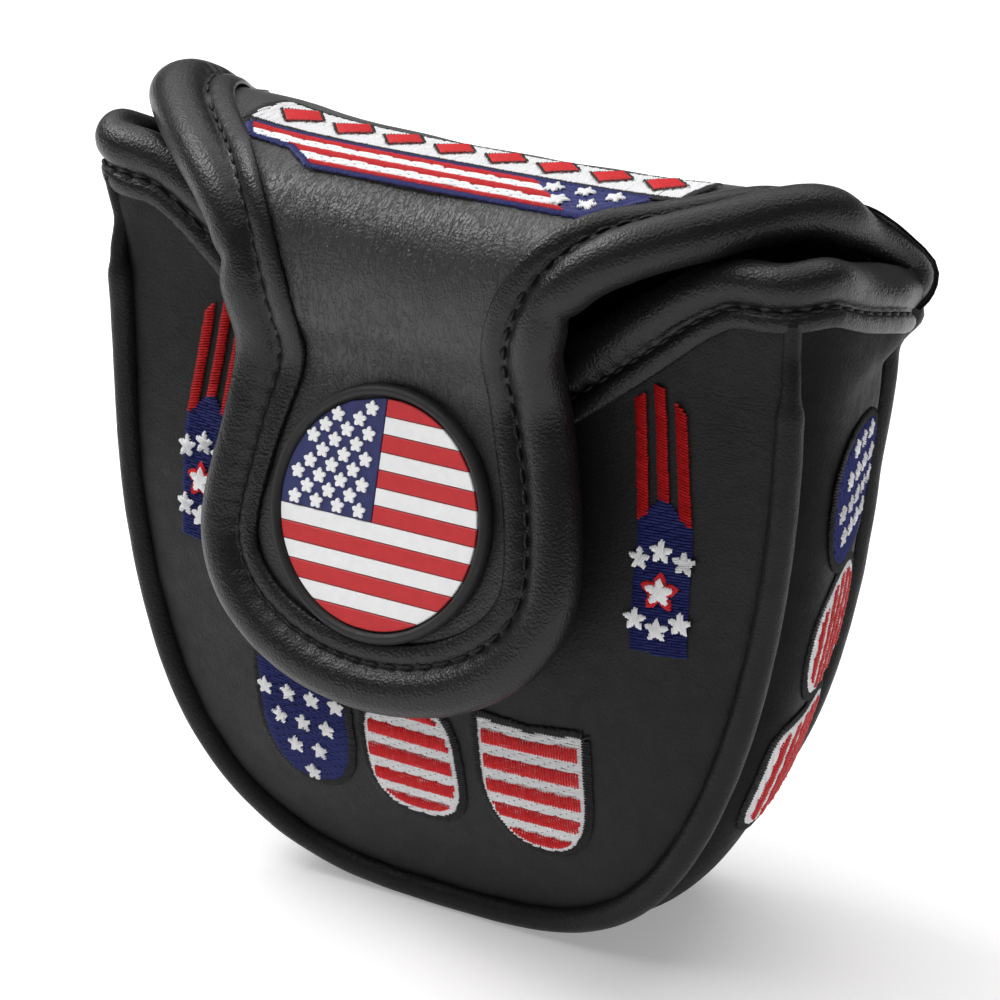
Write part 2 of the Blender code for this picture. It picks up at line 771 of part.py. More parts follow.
def build_magnets(front_foam, tip_foam, tip):
    middle = LEATHER + LAYER_GAP + FOAM / 2
    front = panel_surface(-1)
    n = normal(front, 0.0, MAGNET_HEIGHT, Vector((0.0, -1.0, 0.0)))
    point = front(0.0, MAGNET_HEIGHT) + Vector((0.0, middle, 0.0))
    build_magnet("panel_magnet", front_foam, point, n, None)
    last = len(FLAP_LINE) - 1
    n = flap_normal(last + 1.0, 0.0)
    run = (FLAP_LINE[last][1] - MAGNET_HEIGHT) / math.cos(TIP_TILT)
    point = flap_surface(last + run, 0.0) - n * middle
    build_magnet("flap_magnet", tip_foam, point, n, tip)


# ---------------------------------------------------------------- embroidery


def build_front_embroidery():
    front = panel_surface(-1)
    colours = {"front_emblem_left": "navy", "front_emblem_middle": "red",
               "front_emblem_right": "red", "side_motif_left": "red", "side_motif_right": "red"}
    for name, low_x, high_x, low_z, high_z in FRONT_EMBROIDERY:
        rows = []
        for z in spread(low_z, high_z, 4):
            row = []
            for x in spread(low_x, high_x, 3):
                row.append(front(x, z) - Vector((0.0, THREAD_GAP + THREAD, 0.0)))
            rows.append(row)
        sheet_object(name, grid_bmesh(rows), THREAD, colours[name], None,
                     lambda _: Vector((0.0, -1.0, 0.0)))


def gusset_place(z):
    """Value of a on the right side of the gusset where the seam is at height z."""
    rise = (z - SEAM_BOTTOM) / SEAM_CURVE_HEIGHT
    return CURVE_SHARE * (1.0 - math.asin(1.0 - rise) / (math.pi / 2))


def build_gusset_embroidery():
    for name, low_z, high_z in GUSSET_EMBROIDERY:
        rows = []
        for z in spread(low_z, high_z, 4):
            a = gusset_place(z)
            nx, nz = seam_normal(a)
            out = Vector((nx, 0.0, nz))
            row = []
            for v in spread(*GUSSET_EMBLEM_SHARE, 3):
                row.append(gusset_surface(a, v) + out * (THREAD_GAP + THREAD))
            rows.append(row)
        colour = "navy" if name.endswith("top") else "red"
        sheet_object(name, grid_bmesh(rows), THREAD, colour, None,
                     lambda _: Vector((1.0, 0.0, 0.0)))


def build_crown_embroidery(parent):
    """A band across the crown that keeps the crown's own rows, so it lies evenly on them."""
    rows = []
    for q in (4.0, 5.0, 6.0):
        row = []
        for s in spread(-1.0, 1.0, 10)[1:-1]:
            x = s * flap_half(q)
            row.append(flap_surface(q, x) + flap_normal(q, x) * (THREAD_GAP + THREAD))
        rows.append(row)
    sheet_object("crown_ribbon", grid_bmesh(rows), THREAD, "red", parent,
                 lambda _: Vector((0.0, 0.0, 1.0)))


# ---------------------------------------------------------------- whole cover


def main():
    clear_scene()
    front = build_panel(-1, "front")
    build_panel(1, "back")
    build_gusset()
    build_piping(-1, "front_piping")
    build_piping(1, "back_piping")
    build_mouth()
    build_front_embroidery()
    build_gusset_embroidery()
    hinge_y, hinge_z, _ = FLAP_LINE[0]
    crown = body_empty("crown_hinge", hinge_y + FIT_GAP, hinge_z)
    fold_y, fold_z, _ = FLAP_LINE[TIP_SPLIT]
    fold = Vector((0.0, fold_y, fold_z)) + flap_outward(TIP_SPLIT) * FIT_GAP
    tip = body_empty("tip_fold", fold.y, fold.z)
    bpy.context.view_layer.update()
    build_flap_layers("crown", crown, crown_rows, 10)
    build_crown_binding("crown_binding_left", -1.0, crown)
    build_crown_binding("crown_binding_right", 1.0, crown)
    build_crown_embroidery(crown)
    tip_layers = build_flap_layers("tip", tip, lambda gap: tip_rows(gap) + tip_round_rows(), 8)
    build_tip_binding(tip)
    build_badge(tip)
    build_magnets(front["foam"], tip_layers["foam"], tip)


main()
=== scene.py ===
"""Looks of a padded putter head cover: leather, bindings, stitches, badge and embroidery.

X is the width, Y the depth with the front at -Y, and Z is up. Lengths are in
millimetres here and become metres in the meshes.
"""

import math

import bpy
import numpy as np
from mathutils import Matrix, Vector, noise


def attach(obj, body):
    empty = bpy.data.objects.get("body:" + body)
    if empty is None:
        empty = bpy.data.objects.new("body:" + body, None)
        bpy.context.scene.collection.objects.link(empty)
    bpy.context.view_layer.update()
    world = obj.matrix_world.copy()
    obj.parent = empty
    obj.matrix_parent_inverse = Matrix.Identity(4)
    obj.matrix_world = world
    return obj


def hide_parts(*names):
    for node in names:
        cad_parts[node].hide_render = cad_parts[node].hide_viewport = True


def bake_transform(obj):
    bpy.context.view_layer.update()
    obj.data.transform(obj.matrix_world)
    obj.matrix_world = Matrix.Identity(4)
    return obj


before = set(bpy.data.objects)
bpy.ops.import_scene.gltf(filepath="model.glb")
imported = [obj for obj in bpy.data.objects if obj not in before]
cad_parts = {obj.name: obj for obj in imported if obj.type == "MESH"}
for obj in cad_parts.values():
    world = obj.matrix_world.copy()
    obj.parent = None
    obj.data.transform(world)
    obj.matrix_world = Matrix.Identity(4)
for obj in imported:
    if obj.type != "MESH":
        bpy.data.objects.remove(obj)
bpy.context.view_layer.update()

MM = 0.001
FRONT, BACK = -1, 1

# Pouch outline and depth.
SEAM_HALF_WIDTH = 60.0
SEAM_CURVE_HEIGHT = 90.7
SEAM_CURVE_POWER = 0.64
SEAM_BOTTOM = 2.0
CURVE_SHARE = 0.8
SEAM_DEPTH = 42.0
SEAM_HEIGHT = 104.0
FRONT_LEAN = 2.7
FOOT_RECESS = {FRONT: 6.0, BACK: 4.0}
FOOT_SHARE = 0.3
PANEL_SWELL = {FRONT: 7.5, BACK: 5.0}
PANEL_SWELL_TOP = {FRONT: 98.0, BACK: 106.0}
PANEL_SWELL_POWER = 2.5
PANEL_CENTRE_Z = 48.0
PANEL_TOP = {FRONT: (107.0, 54.0), BACK: (106.0, 57.0)}  # (top of the seam, half width there)
PANEL_WAVE = {FRONT: (0.45, 26.0, 6.7, 9.0), BACK: (0.45, 26.0, 8.7, 9.0)}  # (height, size, seed, reach)
GUSSET_SWELL = 3.6
GUSSET_SWELL_POWER = 4
GUSSET_OVERHANG = 0.035
SEAM_MARGIN = 2.3
SEAM_TUCK = 0.9
PIPING_RADIUS = {FRONT: 2.15, BACK: 1.9}
PIPING_TOP = {FRONT: 109.0, BACK: 104.0}
FLOOR_GAP = 0.02
PIPING_FLOOR_GAP = 0.05

# Layers: (node and slot, word in the piece's name, outer depth, inner depth).
STACK = 4.0
LAYERS = (("leather", "leather", 0.0, 1.0), ("foam", "padding", 1.35, 2.85), ("lining", "plush", 3.2, 4.0))

# Mouth.
LIP_LOW = 81.0
LIP_RISE = 30.0
LIP_SPAN = 62.0
LIP_END_X = 51.0
LIP_RAISE = 0.9
CORNER_Z = 114.2
SIDE_SAG = 0.9
SIDE_SIZE = 0.84
SIDE_BACK_Y = 17.0
SIDE_BACK_Z = 104.4
SIDE_COLUMNS = (0.14, 0.86)
EDGE_INSET = 4.0

# Flap: (y, z, half width of the binding's centre line) from the back hinge to the tip.
FLAP_LINE = np.array((
    (21.0, 106.6, 59.5), (20.3, 110.4, 59.5), (15.0, 114.8, 58.5), (6.0, 118.0, 57.5),
    (-3.0, 120.2, 54.0), (-13.0, 120.7, 48.0), (-23.0, 119.3, 39.0), (-28.3, 115.4, 32.0),
    (-30.6, 108.6, 26.0), (-30.4, 100.0, 22.8), (-27.9, 92.0, 22.9), (-30.5, 80.4, 26.6),
    (-32.6, 72.2, 28.6), (-34.0, 66.5, 29.3),
))
FLAP_LAST = len(FLAP_LINE) - 1
FLAP_SPLIT = 5.0
FLAP_INSET = 3.4
FOLD_Z = 108.0
TIP_START = 7
TIP_TILT = math.radians(14.0)
TIP_DEPTH = 20.4
CROWN_LIFT = 2.6
CROWN_LIFT_X = 52.0
EDGE_DROP = 3.0
HINGE_CORNER = ((60.6, 19.3, 105.0), (60.3, 20.7, 106.9), (59.8, 20.2, 109.0), (59.2, 17.9, 110.4))

# What carries a piece: one body, or two bodies and the blend's start and end in metres.
POUCH = ("pouch",)
TIP = ("flap_tip",)
HINGE = ("pouch", "flap_crown", (0.0, 0.0212, 0.1066), (0.0, 0.0190, 0.1120))
FOLD = ("flap_crown", "flap_tip", (0.0, -0.0245, 0.1195), (0.0, -0.0305, 0.1080))

# Binding and stitches.
ROLL_RADIUS = 4.0
CORE_RADIUS = 2.85
GROOVE = (2.30, -3.85)
TAPE_END = -7.3
TAPE_TOP = -3.0
STATION_STEP = 0.8
MOUTH_CORE_TRIM = 3
FLAP_CORE_TRIM = 8
STITCH_PITCH = 3.2
STITCH_LENGTH = 2.35
STITCH_WIDTH = 0.62
STITCH_HEIGHT = 0.36
HINGE_STITCH_GAP = 30

# Badge.
BADGE_HEIGHT = 72.2  # of its centre
BADGE_FACE_RADIUS = 17.35
BADGE_SEAT = 0.3
BADGE_SIDES = 96
BADGE_PROFILE = np.array((
    (19.3, 0.0), (19.42, 0.5), (19.25, 1.25), (18.9, 1.7), (18.45, 1.88), (18.05, 1.75),
    (17.75, 1.35), (17.6, 0.9), (17.4, 0.8), (12.0, 0.8), (6.0, 0.8), (0.4, 0.8),
))
STRIPES = 13
CANTON_STRIPES = 7
CANTON_X = -0.9
TILE_GAP = 0.07
TILE_BEVEL = 0.12
TILE_LOW, TILE_HIGH = 0.75, 1.30
STAR_STEP = 3.87
STAR_ROW = 1.93

# Embroidery. A thread is (base, crest, width), and a star's base depends on what it lies on.
THREAD_PITCH = 0.45
THREAD_KEYS = ("black", "navy", "white", "red")
STAR_PITCH = 0.32
OUTLINE_THREAD = (0.42, 0.18, 0.44)
STAR_THREAD = (0.26, 0.36)
LONG_STITCH = 9.0

# Where the stuffed leather has settled away from the plain shape: (centre, reach, move).
SETTLED = (
    ((-55.0, -6.0, 119.0), (15.0, 20.0, 13.0), (-4.4, 0.0, 2.8)),
    ((-62.0, -16.0, 111.0), (12.0, 12.0, 8.0), (-1.2, -0.5, 0.8)),
    ((-25.0, -31.0, 98.0), (10.0, 12.0, 15.0), (-4.3, 0.0, 0.0)),
    ((25.0, -31.0, 92.0), (9.0, 12.0, 24.0), (1.3, 0.0, 0.0)),
    ((-62.0, -19.0, 84.0), (11.0, 14.0, 22.0), (1.3, 0.0, 0.0)),
)
BACK_NARROWING = 0.085
FOOT_NARROWING = 0.022
RIM_NARROWING = 0.015
RIM_MIDDLE = 103.0
RIM_REACH = 7.0

# Colours.
LEATHER_DARK = (0.0075, 0.0075, 0.0080)
LEATHER_LIGHT = (0.0120, 0.0118, 0.0120)
RED = ((0.52, 0.006, 0.010), (0.74, 0.014, 0.018))
WHITE = ((0.84, 0.84, 0.86), (0.97, 0.97, 0.97))
NAVY = ((0.012, 0.016, 0.115), (0.024, 0.032, 0.190))
BLACK = ((0.006, 0.006, 0.007), (0.014, 0.014, 0.015))

# Camera.
CAMERA_AZIMUTH = 32.83
CAMERA_ELEVATION = 22.11
CAMERA_ROLL = 0.31
CAMERA_TARGET = (0.0, -1.0, 52.0)
CAMERA_DISTANCE = 600.0
CAMERA_LENS = 138.1
CAMERA_SHIFT = (0.0016, 0.0738)


# ---------------------------------------------------------------- numbers


def clamp01(t):
    return np.clip(t, 0.0, 1.0)


def smoothstep(t):
    t = clamp01(t)
    return t * t * (3.0 - 2.0 * t)


def unit(v):
    return v / np.maximum(np.linalg.norm(v, axis=-1, keepdims=True), 1e-9)


def mirrored(points):
    return points * (-1.0, 1.0, 1.0)


def noise_at(points, scale, seed):
    """Smooth noise of about -1 to 1 at each point, with features of the size scale."""
    flat = points.reshape(-1, 3) / scale + seed
    return np.array([noise.noise(Vector(p)) for p in flat]).reshape(points.shape[:-1])


def noise_along(run, scale, seed):
    """Smooth noise along a path."""
    return np.array([noise.noise(Vector((s / scale, seed, 0.0))) for s in run])


def along(points):
    """How far along its path each point lies."""
    return np.concatenate([[0.0], np.cumsum(np.linalg.norm(np.diff(points, axis=0), axis=1))])


def sampled(at, run, values):
    """The values that a path, with run along it, has at other places."""
    return np.stack([np.interp(at, run, column) for column in values.T], -1)


def relaxed(values, rounds):
    """Each value moved towards its neighbours, apart from the first and the last."""
    for _ in range(rounds):
        values[1:-1] = (values[:-2] + 2 * values[1:-1] + values[2:]) / 4
    return values


def closed_ring(corners, count):
    """A closed outline with points along the straight lines between its corners."""
    sides = zip(corners, np.roll(corners, -1, axis=0))
    return np.concatenate([np.linspace(a, b, count)[:-1] for a, b in sides])


# ---------------------------------------------------------------- surfaces


def settled(points):
    """The shape after sewing and stuffing: narrower at the back, with a few soft bulges."""
    x, y, z = points.T
    rim = np.exp(-((z - RIM_MIDDLE) / RIM_REACH) ** 4)
    narrow = BACK_NARROWING + (RIM_NARROWING - BACK_NARROWING) * rim
    narrow = narrow + FOOT_NARROWING * (1.0 - smoothstep((z - 72.0) / 20.0))
    moved = points.copy()
    moved[:, 0] = x * (1.0 - narrow * smoothstep((y + 14.0) / 32.0))
    for centre, reach, move in SETTLED:
        weight = np.exp(-np.sum(((points - centre) / reach) ** 2, axis=1))
        moved += weight[:, None] * np.array(move)
    return moved


def seam_half_width(z):
    rise = clamp01((z - SEAM_BOTTOM) / SEAM_CURVE_HEIGHT)
    return SEAM_HALF_WIDTH * np.sqrt(1.0 - (1.0 - rise) ** 2) ** SEAM_CURVE_POWER


def seam_y(z, side):
    """Depth of the front or back seam at height z."""
    t = np.clip((z - SEAM_BOTTOM) / SEAM_HEIGHT, 0.0, 1.1)
    foot = np.maximum(0.0, 1.0 - t / FOOT_SHARE) ** 2
    lean = FRONT_LEAN * t ** 0.8 if side == FRONT else 0.0
    return side * (SEAM_DEPTH / 2 - FOOT_RECESS[side] * foot) + lean


def panel_y(x, z, side):
    """Depth of the outer face of the front or back panel."""
    width = seam_half_width(z)
    across = 1.0 - clamp01(np.abs(x) / np.maximum(width, 1.0)) ** PANEL_SWELL_POWER
    rise = clamp01((z - SEAM_BOTTOM) / PANEL_SWELL_TOP[side])
    swell = PANEL_SWELL[side] * across * (1.0 - (2.0 * rise - 1.0) ** 2) ** 2
    return seam_y(z, side) + side * swell


def panel_normal(x, z, side):
    step = 0.05
    slope_x = (panel_y(x + step, z, side) - panel_y(x - step, z, side)) / (2 * step)
    slope_z = (panel_y(x, z + step, side) - panel_y(x, z - step, side)) / (2 * step)
    return unit(np.stack([-side * slope_x, np.full_like(slope_x, side), -side * slope_z], -1))


def lip_edge(x):
    """Height of the mouth's front edge."""
    return LIP_LOW + LIP_RISE * (1.0 - np.cos(math.pi * x / LIP_SPAN)) / 2.0


def seam_point(a, top):
    """Points (x, z) on the seam: a is 0 at the bottom, -1 and 1 at its two ends."""
    share = np.abs(a) / CURVE_SHARE
    angle = math.pi / 2 * (1.0 - clamp01(share))
    x = SEAM_HALF_WIDTH * np.maximum(np.cos(angle), 0.0) ** SEAM_CURVE_POWER
    curved = SEAM_BOTTOM + SEAM_CURVE_HEIGHT * (1.0 - np.sin(angle))
    start = SEAM_BOTTOM + SEAM_CURVE_HEIGHT
    straight = start + (top - start) * (np.abs(a) - CURVE_SHARE) / (1.0 - CURVE_SHARE)
    return np.sign(a) * x, np.where(share > 1.0, straight, curved)


def seam_normal(a):
    """Outward directions (x, z) of the seam outline."""
    step = 0.002
    low = seam_point(np.maximum(a - step, -1.0), SEAM_HEIGHT)
    high = seam_point(np.minimum(a + step, 1.0), SEAM_HEIGHT)
    dx, dz = high[0] - low[0], high[1] - low[1]
    length = np.hypot(dx, dz)
    return dz / length, -dx / length


def even_seam(count, top=SEAM_HEIGHT, end=1.0):
    """Values of a that lie evenly along the seam's length."""
    a = np.linspace(-end, end, 4001)
    run = along(np.stack(seam_point(a, top), -1))
    return np.interp(np.linspace(0.0, run[-1], count), run, a)


def gusset_y(v, z):
    """Depth on the gusset, whose v is 0 at the front seam and 1 at the back seam."""
    front = seam_y(z, FRONT) + SEAM_MARGIN
    back = seam_y(z, BACK) - SEAM_MARGIN
    return front + (back - front) * v


CORNER_Y = gusset_y(SIDE_COLUMNS[0], SEAM_HEIGHT)


def gusset_swell(v):
    return GUSSET_SWELL * (1.0 - np.abs(2.0 * v - 1.0) ** GUSSET_SWELL_POWER)


def mouth_side_z(y):
    return CORNER_Z + (SIDE_BACK_Z - CORNER_Z) * (y - CORNER_Y) / (SIDE_BACK_Y - CORNER_Y)


def gusset_point(a, v, height=0.0):
    """Outer face of the gusset, raised by height."""
    _, z = seam_point(a, SEAM_HEIGHT)
    y = gusset_y(v, z)
    x, z = seam_point(a, mouth_side_z(np.maximum(y, CORNER_Y)) - EDGE_INSET)
    nx, nz = seam_normal(a)
    swell = np.maximum(gusset_swell(v), -0.6) + height
    return np.stack([x + nx * swell, y, np.maximum(z + nz * swell, FLOOR_GAP)], -1)


def flap_row(q):
    """(y, z, half width) of the flap's outer face at q; past the last point q is in millimetres."""
    held = np.clip(np.asarray(q, float), 0.0, FLAP_LAST)
    i = np.minimum(held.astype(int), FLAP_LAST - 1)
    t = (held - i)[..., None]
    p0, p1, p2, p3 = (FLAP_LINE[np.clip(i + k, 0, FLAP_LAST)] for k in (-1, 0, 1, 2))
    out = 0.5 * (2 * p1 + (p2 - p0) * t + (2 * p0 - 5 * p1 + 4 * p2 - p3) * t ** 2
                 + (3 * p1 - p0 - 3 * p2 + p3) * t ** 3)
    run = np.maximum(q - FLAP_LAST, 0.0)
    y = out[..., 0] - math.sin(TIP_TILT) * run
    z = out[..., 1] - math.cos(TIP_TILT) * run
    return y, z, out[..., 2] * np.sqrt(1.0 - clamp01(run / TIP_DEPTH) ** 2)


def flap_surface(q, x):
    y, z, _ = flap_row(q)
    lift = CROWN_LIFT * (np.abs(x) / CROWN_LIFT_X) ** 3
    lift = lift * np.sin(math.pi * clamp01(q / TIP_START)) ** 2
    return np.stack(np.broadcast_arrays(x, y, z + lift), -1)


def flap_normal(q, x):
    step = 0.02
    ahead = flap_surface(q + step, x) - flap_surface(q - step, x)
    return unit(np.cross(ahead, flap_surface(q, x + step) - flap_surface(q, x - step)))


def flap_half(q):
    """Half width of the leather, which stops short of the binding's centre line."""
    low = flap_row(np.maximum(q - 0.1, 0.0))
    high = flap_row(np.minimum(q + 0.1, FLAP_LAST))
    run = np.hypot(high[0] - low[0], high[1] - low[1])
    slope = (high[2] - low[2]) / np.maximum(run, 1e-6)
    straight = flap_row(np.minimum(q, FLAP_LAST))[2] - FLAP_INSET * np.hypot(1.0, slope)
    depth = clamp01((q - FLAP_LAST) / (TIP_DEPTH - FLAP_INSET))
    round_end = (FLAP_LINE[-1][2] - FLAP_INSET) * np.sqrt(1.0 - depth ** 2)
    return np.where(q <= FLAP_LAST, straight, round_end)


def edge_drop(q):
    """How far the flap's side edges hang below its plain surface near the hinge."""
    return EDGE_DROP * smoothstep(q / 1.2) * (1.0 - smoothstep((q - 2.0) / 2.8))


# ---------------------------------------------------------------- materials


class Surface:
    """A material, with helpers that add and link its nodes. Its coordinates are in millimetres."""

    def __init__(self, name, base, roughness, metallic=0.0, sheen=0.0, specular=0.5):
        self.made = bpy.data.materials.new(name)
        self.made.use_nodes = True
        self.tree = self.made.node_tree
        self.shader = self.tree.nodes["Principled BSDF"]
        self.fill(self.shader, {"Base Color": (*base, 1.0), "Roughness": roughness, "Metallic": metallic,
                                "Sheen Weight": sheen, "Specular IOR Level": specular})
        coords = self.tree.nodes.new("ShaderNodeTexCoord").outputs["Object"]
        self.place = self.add("VectorMath", {0: coords, "Scale": 1.0 / MM}, operation="SCALE").outputs[0]

    def fill(self, node, inputs):
        """Set each input to a number, or link it to another node's output."""
        for key, value in inputs.items():
            if isinstance(value, bpy.types.NodeSocket):
                self.tree.links.new(value, node.inputs[key])
            elif value is not None:
                node.inputs[key].default_value = value

    def add(self, kind, inputs, **settings):
        node = self.tree.nodes.new("ShaderNode" + kind)
        for key, value in settings.items():
            setattr(node, key, value)
        self.fill(node, inputs)
        return node

    def noise(self, scale, detail=2.0, distortion=0.0, place=None):
        return self.add("TexNoise", {"Vector": place or self.place, "Scale": scale, "Detail": detail,
                                     "Distortion": distortion}).outputs["Fac"]

    def cells(self, scale):
        return self.add("TexVoronoi", {"Vector": self.place, "Scale": scale}).outputs["Distance"]

    def ramp(self, value, *stops):
        node = self.add("ValToRGB", {"Fac": value})
        for element, (place, colour) in zip(node.color_ramp.elements, stops):
            element.position = place
            element.color = (*colour, 1.0)
        return node.outputs["Color"]

    def remap(self, value, low, high, to_low, to_high):
        return self.add("MapRange", {"Value": value, "From Min": low, "From Max": high,
                                     "To Min": to_low, "To Max": to_high}).outputs["Result"]

    def maths(self, operation, a, b=0.0):
        return self.add("Math", {0: a, 1: b}, operation=operation).outputs[0]

    def bump(self, height, distance, strength, under=None):
        return self.add("Bump", {"Height": height, "Distance": distance * MM, "Strength": strength,
                                 "Normal": under}).outputs["Normal"]

    def creases(self, centre, radius, stretch, depth, under):
        """Fine creases near a place, which run across the direction in which stretch is large."""
        stretched = self.add("Mapping", {"Vector": self.place, "Scale": stretch}).outputs["Vector"]
        veins = self.maths("SUBTRACT", self.noise(1.0, 3.0, 0.8, stretched), 0.5)
        lines = self.remap(self.maths("ABSOLUTE", veins), 0.0, 0.05, 0.0, 1.0)
        away = self.add("VectorMath", {0: self.place, 1: centre}, operation="DISTANCE").outputs["Value"]
        near = self.remap(away, radius * 0.35, radius, 1.0, 0.0)
        return self.bump(self.maths("MULTIPLY", self.maths("SUBTRACT", lines, 1.0), near), depth, 0.8, under)

    def finish(self, colour, roughness, normal):
        self.fill(self.shader, {"Base Color": colour, "Roughness": roughness, "Normal": normal})
        return self.made


def leather_material(name, rough_low, rough_high, specular, grain, *creases):
    """Black coated leather: pebbled grain, fine wrinkles and places with deeper creases."""
    skin = Surface(name, LEATHER_DARK, rough_low, specular=specular)
    pebbles = skin.cells(2.3)
    worn = skin.maths("ADD", skin.noise(0.35, 3.0), skin.maths("MULTIPLY", pebbles, 0.35))
    fine = skin.bump(skin.noise(6.0, 3.0), 0.06, 0.55 * grain)
    pebbled = skin.bump(pebbles, 0.13, 0.80 * grain, fine)
    top = skin.bump(skin.noise(0.16, 2.0, 0.6), 0.5, 0.25, pebbled)
    for crease in creases:
        top = skin.creases(*crease, top)
    return skin.finish(skin.ramp(skin.noise(0.05, 4.0), (0.3, LEATHER_DARK), (0.7, LEATHER_LIGHT)),
                       skin.remap(worn, 0.35, 0.95, rough_low, rough_high), top)


def thread_material(name, base, lighter):
    """Twisted embroidery thread with a soft shine."""
    silk = Surface(name, base, 0.50, specular=0.25)
    return silk.finish(silk.ramp(silk.noise(2.0, 3.0), (0.30, base), (0.72, lighter)),
                       silk.remap(silk.noise(2.5), 0.3, 0.7, 0.36, 0.60),
                       silk.bump(silk.noise(7.0, 3.0), 0.08, 0.6))


def cloth_material(name, base, lighter, scale, depth):
    """Matt textile: plush, foam or fibre, by the size of its tufts."""
    cloth = Surface(name, base, 0.95, sheen=0.25)
    tufts = cloth.cells(scale)
    soft = cloth.bump(cloth.noise(scale * 2.2, 3.0), depth * 0.5, 0.6)
    return cloth.finish(cloth.ramp(tufts, (0.15, lighter), (0.75, base)),
                        cloth.remap(cloth.noise(scale * 0.5), 0.3, 0.7, 0.85, 1.0),
                        cloth.bump(tufts, depth, 0.8, soft))


def rubber_material(name, base, lighter, rough):
    """Moulded soft rubber with a faint dusty unevenness."""
    rubber = Surface(name, base, rough)
    dust = rubber.noise(0.7, 5.0)
    return rubber.finish(rubber.ramp(dust, (0.3, base), (0.75, lighter)),
                         rubber.remap(dust, 0.3, 0.7, rough - 0.07, rough + 0.10),
                         rubber.bump(rubber.noise(2.6, 4.0), 0.06, 0.4))


def metal_material(name):
    plate = Surface(name, (0.62, 0.62, 0.64), 0.3, metallic=1.0)
    return plate.finish(None, plate.remap(plate.noise(1.5, 4.0), 0.3, 0.7, 0.22, 0.42),
                        plate.bump(plate.noise(3.0), 0.02, 0.4))


MATERIALS = {
    "panel": leather_material("panel_leather", 0.42, 0.60, 0.20, 0.6,
                              ((52.0, -22.0, 93.0), 10.0, (0.12, 0.4, 0.60), 0.08)),
    "gusset": leather_material("gusset_leather", 0.46, 0.64, 0.06, 0.6),
    "flap": leather_material("flap_leather", 0.38, 0.54, 0.68, 0.6,
                             ((-40.0, -19.0, 119.0), 15.0, (0.75, 0.20, 0.30), 0.28),
                             ((-6.0, -26.0, 117.0), 42.0, (1.10, 0.35, 0.35), 0.12)),
    "binding": leather_material("binding_leather", 0.26, 0.42, 0.32, 0.75),
    "piping": leather_material("piping_leather", 0.36, 0.52, 0.18, 0.7),
    "lining": cloth_material("plush_lining", (0.020, 0.020, 0.022), (0.060, 0.060, 0.064), 1.3, 0.35),
    "foam": cloth_material("open_foam", (0.20, 0.20, 0.19), (0.38, 0.38, 0.36), 2.2, 0.2),
    "filler": cloth_material("fibre_cord", (0.42, 0.40, 0.36), (0.62, 0.60, 0.55), 3.0, 0.15),
    "stitch": thread_material("seam_thread", *BLACK),
    "black": thread_material("black_thread", *BLACK),
    "navy": thread_material("navy_thread", *NAVY),
    "white": thread_material("white_thread", *WHITE),
    "red": thread_material("red_thread", *RED),
    "magnet": metal_material("magnet_plate"),
    "rubber": rubber_material("badge_rubber", (0.006, 0.006, 0.007), (0.011, 0.011, 0.012), 0.62),
    "rubber_red": rubber_material("badge_red", (0.54, 0.018, 0.022), (0.62, 0.025, 0.030), 0.55),
    "rubber_white": rubber_material("badge_white", (0.90, 0.90, 0.91), (0.96, 0.96, 0.96), 0.50),
    "rubber_navy": rubber_material("badge_navy", (0.018, 0.022, 0.110), (0.028, 0.034, 0.150), 0.50),
}


# ---------------------------------------------------------------- meshes


def add_object(name, data):
    obj = bpy.data.objects.new(name, data)
    bpy.context.scene.collection.objects.link(obj)
    return obj


def mesh_object(name, points, faces, materials, face_materials=None, normals=None, closed=False,
                soft=True):
    """An object from points in millimetres, with one or several keys of MATERIALS."""
    points = settled(points) if soft else points
    faces = [tuple(map(int, f)) for f in faces]
    if closed and solid_volume(points, faces) < 0:
        faces = [f[::-1] for f in faces]
    mesh = bpy.data.meshes.new(name)
    mesh.from_pydata((points * MM).tolist(), [], faces)
    for key in [materials] if isinstance(materials, str) else materials:
        mesh.materials.append(MATERIALS[key])
    if face_materials is not None:
        mesh.polygons.foreach_set("material_index", np.asarray(face_materials, np.int32))
    mesh.shade_smooth()
    mesh.update()
    if normals is not None:
        mesh.normals_split_custom_set_from_vertices(normals.tolist())
    return add_object(name, mesh)


def carry(obj, carrier):
    """Make a piece move with one body; a piece held by two bodies only has its transform baked into its mesh.
    """
    if len(carrier) == 1:
        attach(obj, *carrier)
    else:
        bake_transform(obj)


def fit(obj, node, carrier):
    """Make a piece move, and stand for its CAD node."""
    carry(obj, carrier)
    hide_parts(node)


def fit_layers(sheet, piece, node, skin, key, carrier):
    """Leather, padding and lining of one part: sheet(name, low, high, key) makes each of them."""
    for layer, word, low, high in LAYERS:
        is_skin = layer == "leather"
        obj = sheet(piece.format(word), low, high, key if is_skin else layer)
        fit(obj, node + "_" + (skin if is_skin else layer), carrier)


def solid_volume(points, faces):
    """Six times the volume that closed faces enclose, negative when they point inwards."""
    middle = points.mean(axis=0)
    total = 0.0
    for size in {len(f) for f in faces}:
        same = np.array([f for f in faces if len(f) == size])
        a, *others = (points[column] - middle for column in same.T)
        for b, c in zip(others, others[1:]):
            total += float(np.sum(a * np.cross(b, c)))
    return total


def grid_faces(rows, columns, wrap=False, start=0, flip=False):
    """Quads of a grid of points, whose columns may close on themselves."""
    i, j = np.meshgrid(np.arange(rows - 1), np.arange(columns if wrap else columns - 1), indexing="ij")
    here, beside = i * columns + j, i * columns + (j + 1) % columns
    quads = np.stack([here, beside, beside + columns, here + columns], -1).reshape(-1, 4) + start
    return quads[:, ::-1] if flip else quads


def tube_faces(rows, columns):
    """Faces of a tube of rings, with flat ends."""
    start, end = range(columns - 1, -1, -1), range((rows - 1) * columns, rows * columns)
    return [*grid_faces(rows, columns, wrap=True), start, end]


